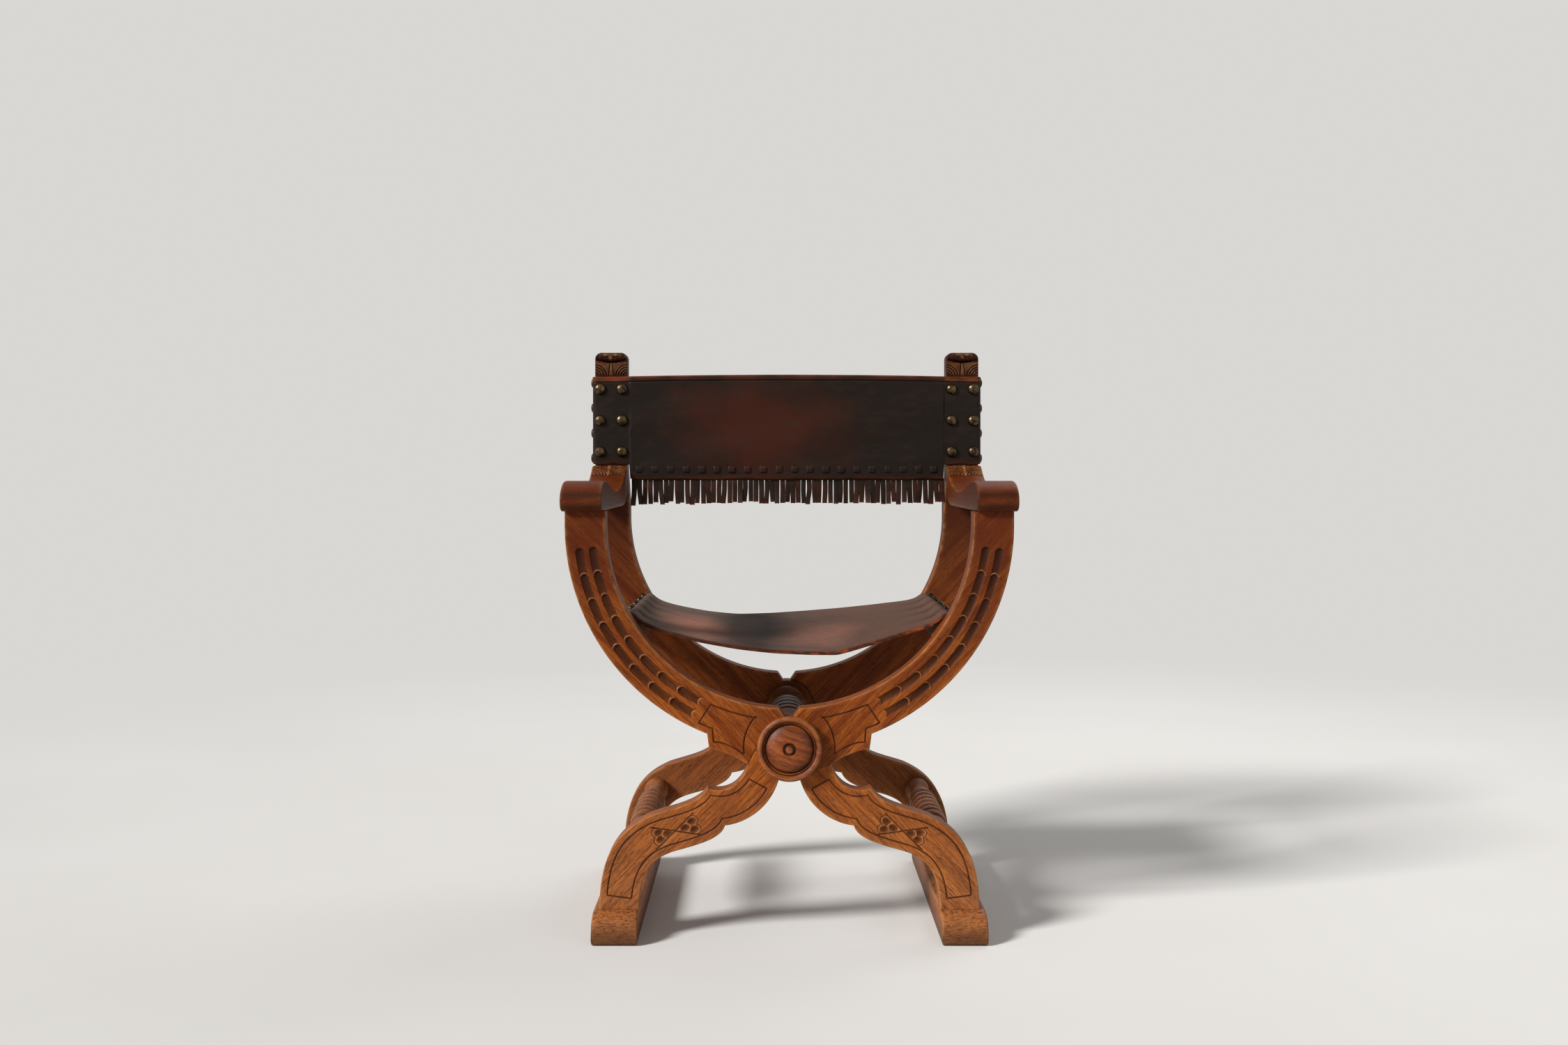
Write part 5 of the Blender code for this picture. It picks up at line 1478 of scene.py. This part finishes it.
band_x = np.linspace(-FRINGE_HALF_WIDTH, FRINGE_HALF_WIDTH, 40)
band_z = np.array([[PANEL_LOW - 0.002], [PANEL_LOW + FRINGE_BAND / 2], [PANEL_LOW + FRINGE_BAND]])
faces = (points_at(band_x, y, band_z) for y in (FACE_INNER, FACE_INNER + FRINGE_THICKNESS))
shells = [slab(*faces, edge=0.0)]
for number in range(round(2 * FRINGE_HALF_WIDTH / FRINGE_STRIP)):
    x = (number + 0.5) * FRINGE_STRIP - FRINGE_HALF_WIDTH + HAND.normal(0, 0.0003)
    length = FRINGE_LENGTH + HAND.normal(-0.0005, 0.0014) + 0.003 * math.exp(-number / 4)
    bends = HAND.normal(0, 1, 3) * TAIL_BENDS
    width = HAND.uniform(*TAIL_WIDTHS)
    shells.append(tail_shell(x, width, length, *bends, HAND.uniform(0.0, 0.2)))
fringe = make_piece("back_tails", shells, back_leather)
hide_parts("back_fringe")
for piece in (back, lacing, fringe):
    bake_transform(piece)

# %% [markdown]
# ## Nails
#
# Every head is a cast dome, never quite the same size or quite straight. One profile is turned about the
# axis of each nail, and the nails of one side form one piece, because they never part from their board.

# %% Heads
HEAD_SEAT = LEATHER + HAIR
FRONT_HEAD = (0.0095, 0.0060)  # radius and height
SIDE_HEAD = (0.0080, 0.0038)
SEAT_HEAD = (0.0065, 0.0045, 0.45)  # and how dull it is
NAIL_INSET = 0.009
ASLANT = (0.31, 0.84, 0.44)  # along no nail's axis


def nail_shell(place, axis, radius, height, dull=0.0):
    """A dome about its own axis: rings shrink as a quarter ellipse from a small flat rim to the crown."""
    axis = np.asarray(axis, float) + HAND.normal(0, 0.03, 3)
    axis = axis / np.linalg.norm(axis)
    aside = np.cross(axis, ASLANT)
    aside = aside / np.linalg.norm(aside)
    angle = np.linspace(0, 2 * np.pi, 28, endpoint=False)[:, None]
    circle = np.cos(angle) * aside + np.sin(angle) * np.cross(axis, aside)
    turn = np.linspace(0, np.pi / 2 - 0.06, 11)
    size = radius * HAND.uniform(0.95, 1.04)
    rings_out = np.concatenate([[0.92], np.cos(turn) ** 0.9]) * size
    rings_up = np.concatenate([[-0.0006], 0.0004 + np.sin(turn) * height])
    rings = np.asarray(place) + rings_out[:, None, None] * circle + rings_up[:, None, None] * axis
    rim = np.concatenate([[1.0, 1.0, 0.7], np.zeros(len(turn) - 2)])
    return tube(rings, edge=np.maximum(rim, dull)[:, None])


def drive_nails(name, row, heads):
    """One side's heads in a row as one piece, in place of as many single nails."""
    nodes = [f"{name}_{row}_nail_{number}" for number in range(1, len(heads) + 1)]
    place_piece(f"{name}_{row}_nails", nodes, ARM_BODY[name], heads, brass)


# %% Nails
SEAT_ROWS = (  # how many, their axis, and their place beside the rail
    (5, RAIL_UP, rail_point(RAIL_INNER + NAIL_INSET, RAIL_TOP + HEAD_SEAT)),
    (3, RAIL_OUT, rail_point(RAIL_OUTER + HEAD_SEAT, RAIL_TOP - 0.0143)),
)
for name, side in SIDES:
    heads = [
        nail_shell((side * x, SKIN_FRONT - HEAD_SEAT, z), (0, -1, 0), *FRONT_HEAD)
        for z in np.linspace(CUFF_LOW + 0.021, PANEL_TOP - 0.021, 3)
        for x in (ARM_OUTER - NAIL_INSET, POST_INNER + NAIL_INSET)
    ]
    heads += [
        nail_shell((side * (SKIN_SIDE + HEAD_SEAT), FRAME_MIDDLE, z), (side, 0, 0), *SIDE_HEAD)
        for z in np.linspace(CUFF_LOW + 0.010, PANEL_TOP - 0.010, 4)
    ]
    drive_nails(name, "back", heads)
    heads = [
        nail_shell((side * x, y, z), np.array([side * axis[0], 0, axis[1]]), *SEAT_HEAD)
        for count, axis, (x, z) in SEAT_ROWS
        for y in np.linspace(-SEAT_NAIL_END, SEAT_NAIL_END, count)
    ]
    drive_nails(name, "seat", heads)

# %% [markdown]
# ## Floor and light
#
# The floor is one pale sheet that runs out of sight. A wide sun at the left models the carving, a weak lamp
# at the right opens the shadows, another behind draws the rear edges, and the world fills in evenly, so
# that a colour renders about as written.

# %% Floor
FLOOR_HALF_WIDTH = 40.0
FLOOR_FADE = (0.9, 4.5)  # how far from the chair it starts and ends to turn into the backdrop
BACKDROP = "#d9d7d4"


def seen_by_eye(tree):
    """1 for a ray from the camera, a mirror or a glass, and 0 for one that carries light to the chair."""
    path = add(tree, "LightPath").outputs
    seen = maths(tree, "MAXIMUM", path["Is Camera Ray"], path["Is Glossy Ray"])
    return maths(tree, "MAXIMUM", seen, path["Is Transmission Ray"])


corner = np.array([-FLOOR_HALF_WIDTH, FLOOR_HALF_WIDTH])
grid = points_at(corner, corner[:, None], 0.0)
floor_mesh = bpy.data.meshes.new("studio_floor")
floor_mesh.from_pydata(grid.reshape(-1, 3).tolist(), [], quads_of(2, 2).tolist())
plaster, tree, place = new_finish("pale_plaster")
tone = noise_fields(tree, place, (("cloud", (700, 700, 700), 2.0),))["cloud"]
shade = mixed(tree, tone, colour("#dcd9d5"), colour("#e6e4e0"))
shader = add(tree, "BsdfPrincipled", {"Base Color": shade, "Roughness": 0.8, "Specular IOR Level": 0.1})
away = add(tree, "VectorMath", {0: place}, operation="LENGTH").outputs["Value"]
limits = {"Value": away, "From Min": FLOOR_FADE[0], "From Max": FLOOR_FADE[1]}
far = add(tree, "MapRange", limits, interpolation_type="SMOOTHSTEP").outputs[0]
far = maths(tree, "MULTIPLY", far, seen_by_eye(tree))
glow = add(tree, "Emission", {"Color": colour(BACKDROP)})
surface = add(tree, "MixShader", {0: far, 1: shader.outputs[0], 2: glow.outputs[0]}).outputs[0]
add(tree, "OutputMaterial", {"Surface": surface})
floor_mesh.materials.append(plaster)
floor = bpy.data.objects.new("studio_floor", floor_mesh)
bpy.context.collection.objects.link(floor)
print("floor:", 2 * FLOOR_HALF_WIDTH, "m wide")

# %% Lamps and world
LAMPS = (  # kind, place, strength, and how wide it is: degrees of sky for a sun, metres for an area
    ("key_lamp", "SUN", (-4.1, -2.9, 3.5), 4.2, 14),
    ("fill_lamp", "AREA", (2.2, -2.9, 1.4), 14, 2.4),
    ("rear_lamp", "AREA", (1.4, 1.9, 2.8), 24, 2.0),
)
AIM = np.array([0.0, 0.0, 0.45])
WORLD_FILL = ("#f2f2f2", 0.22)

for name, kind, place, strength, width in LAMPS:
    lamp = bpy.data.lights.new(name, kind)
    lamp.energy = strength
    if kind == "SUN":
        lamp.angle = math.radians(width)
    else:
        lamp.size = width
    holder = bpy.data.objects.new(name, lamp)
    holder.location = place
    toward = AIM - np.array(place)
    tilt = math.acos(-toward[2] / np.linalg.norm(toward))
    holder.rotation_euler = (tilt, 0, math.atan2(toward[1], toward[0]) - math.pi / 2)
    bpy.context.collection.objects.link(holder)

world = bpy.data.worlds.new("studio")
world.use_nodes = True
tree = world.node_tree
tree.nodes.clear()
filling = add(tree, "Background", {"Color": colour(WORLD_FILL[0]), "Strength": WORLD_FILL[1]}).outputs[0]
backdrop = add(tree, "Background", {"Color": colour(BACKDROP), "Strength": 1.0}).outputs[0]
sky = add(tree, "MixShader", {0: seen_by_eye(tree), 1: filling, 2: backdrop}).outputs[0]
add(tree, "OutputWorld", {"Surface": sky})
bpy.context.scene.world = world
bpy.context.scene.view_settings.view_transform = "Standard"
print("lamps:", [name for name, *_ in LAMPS])
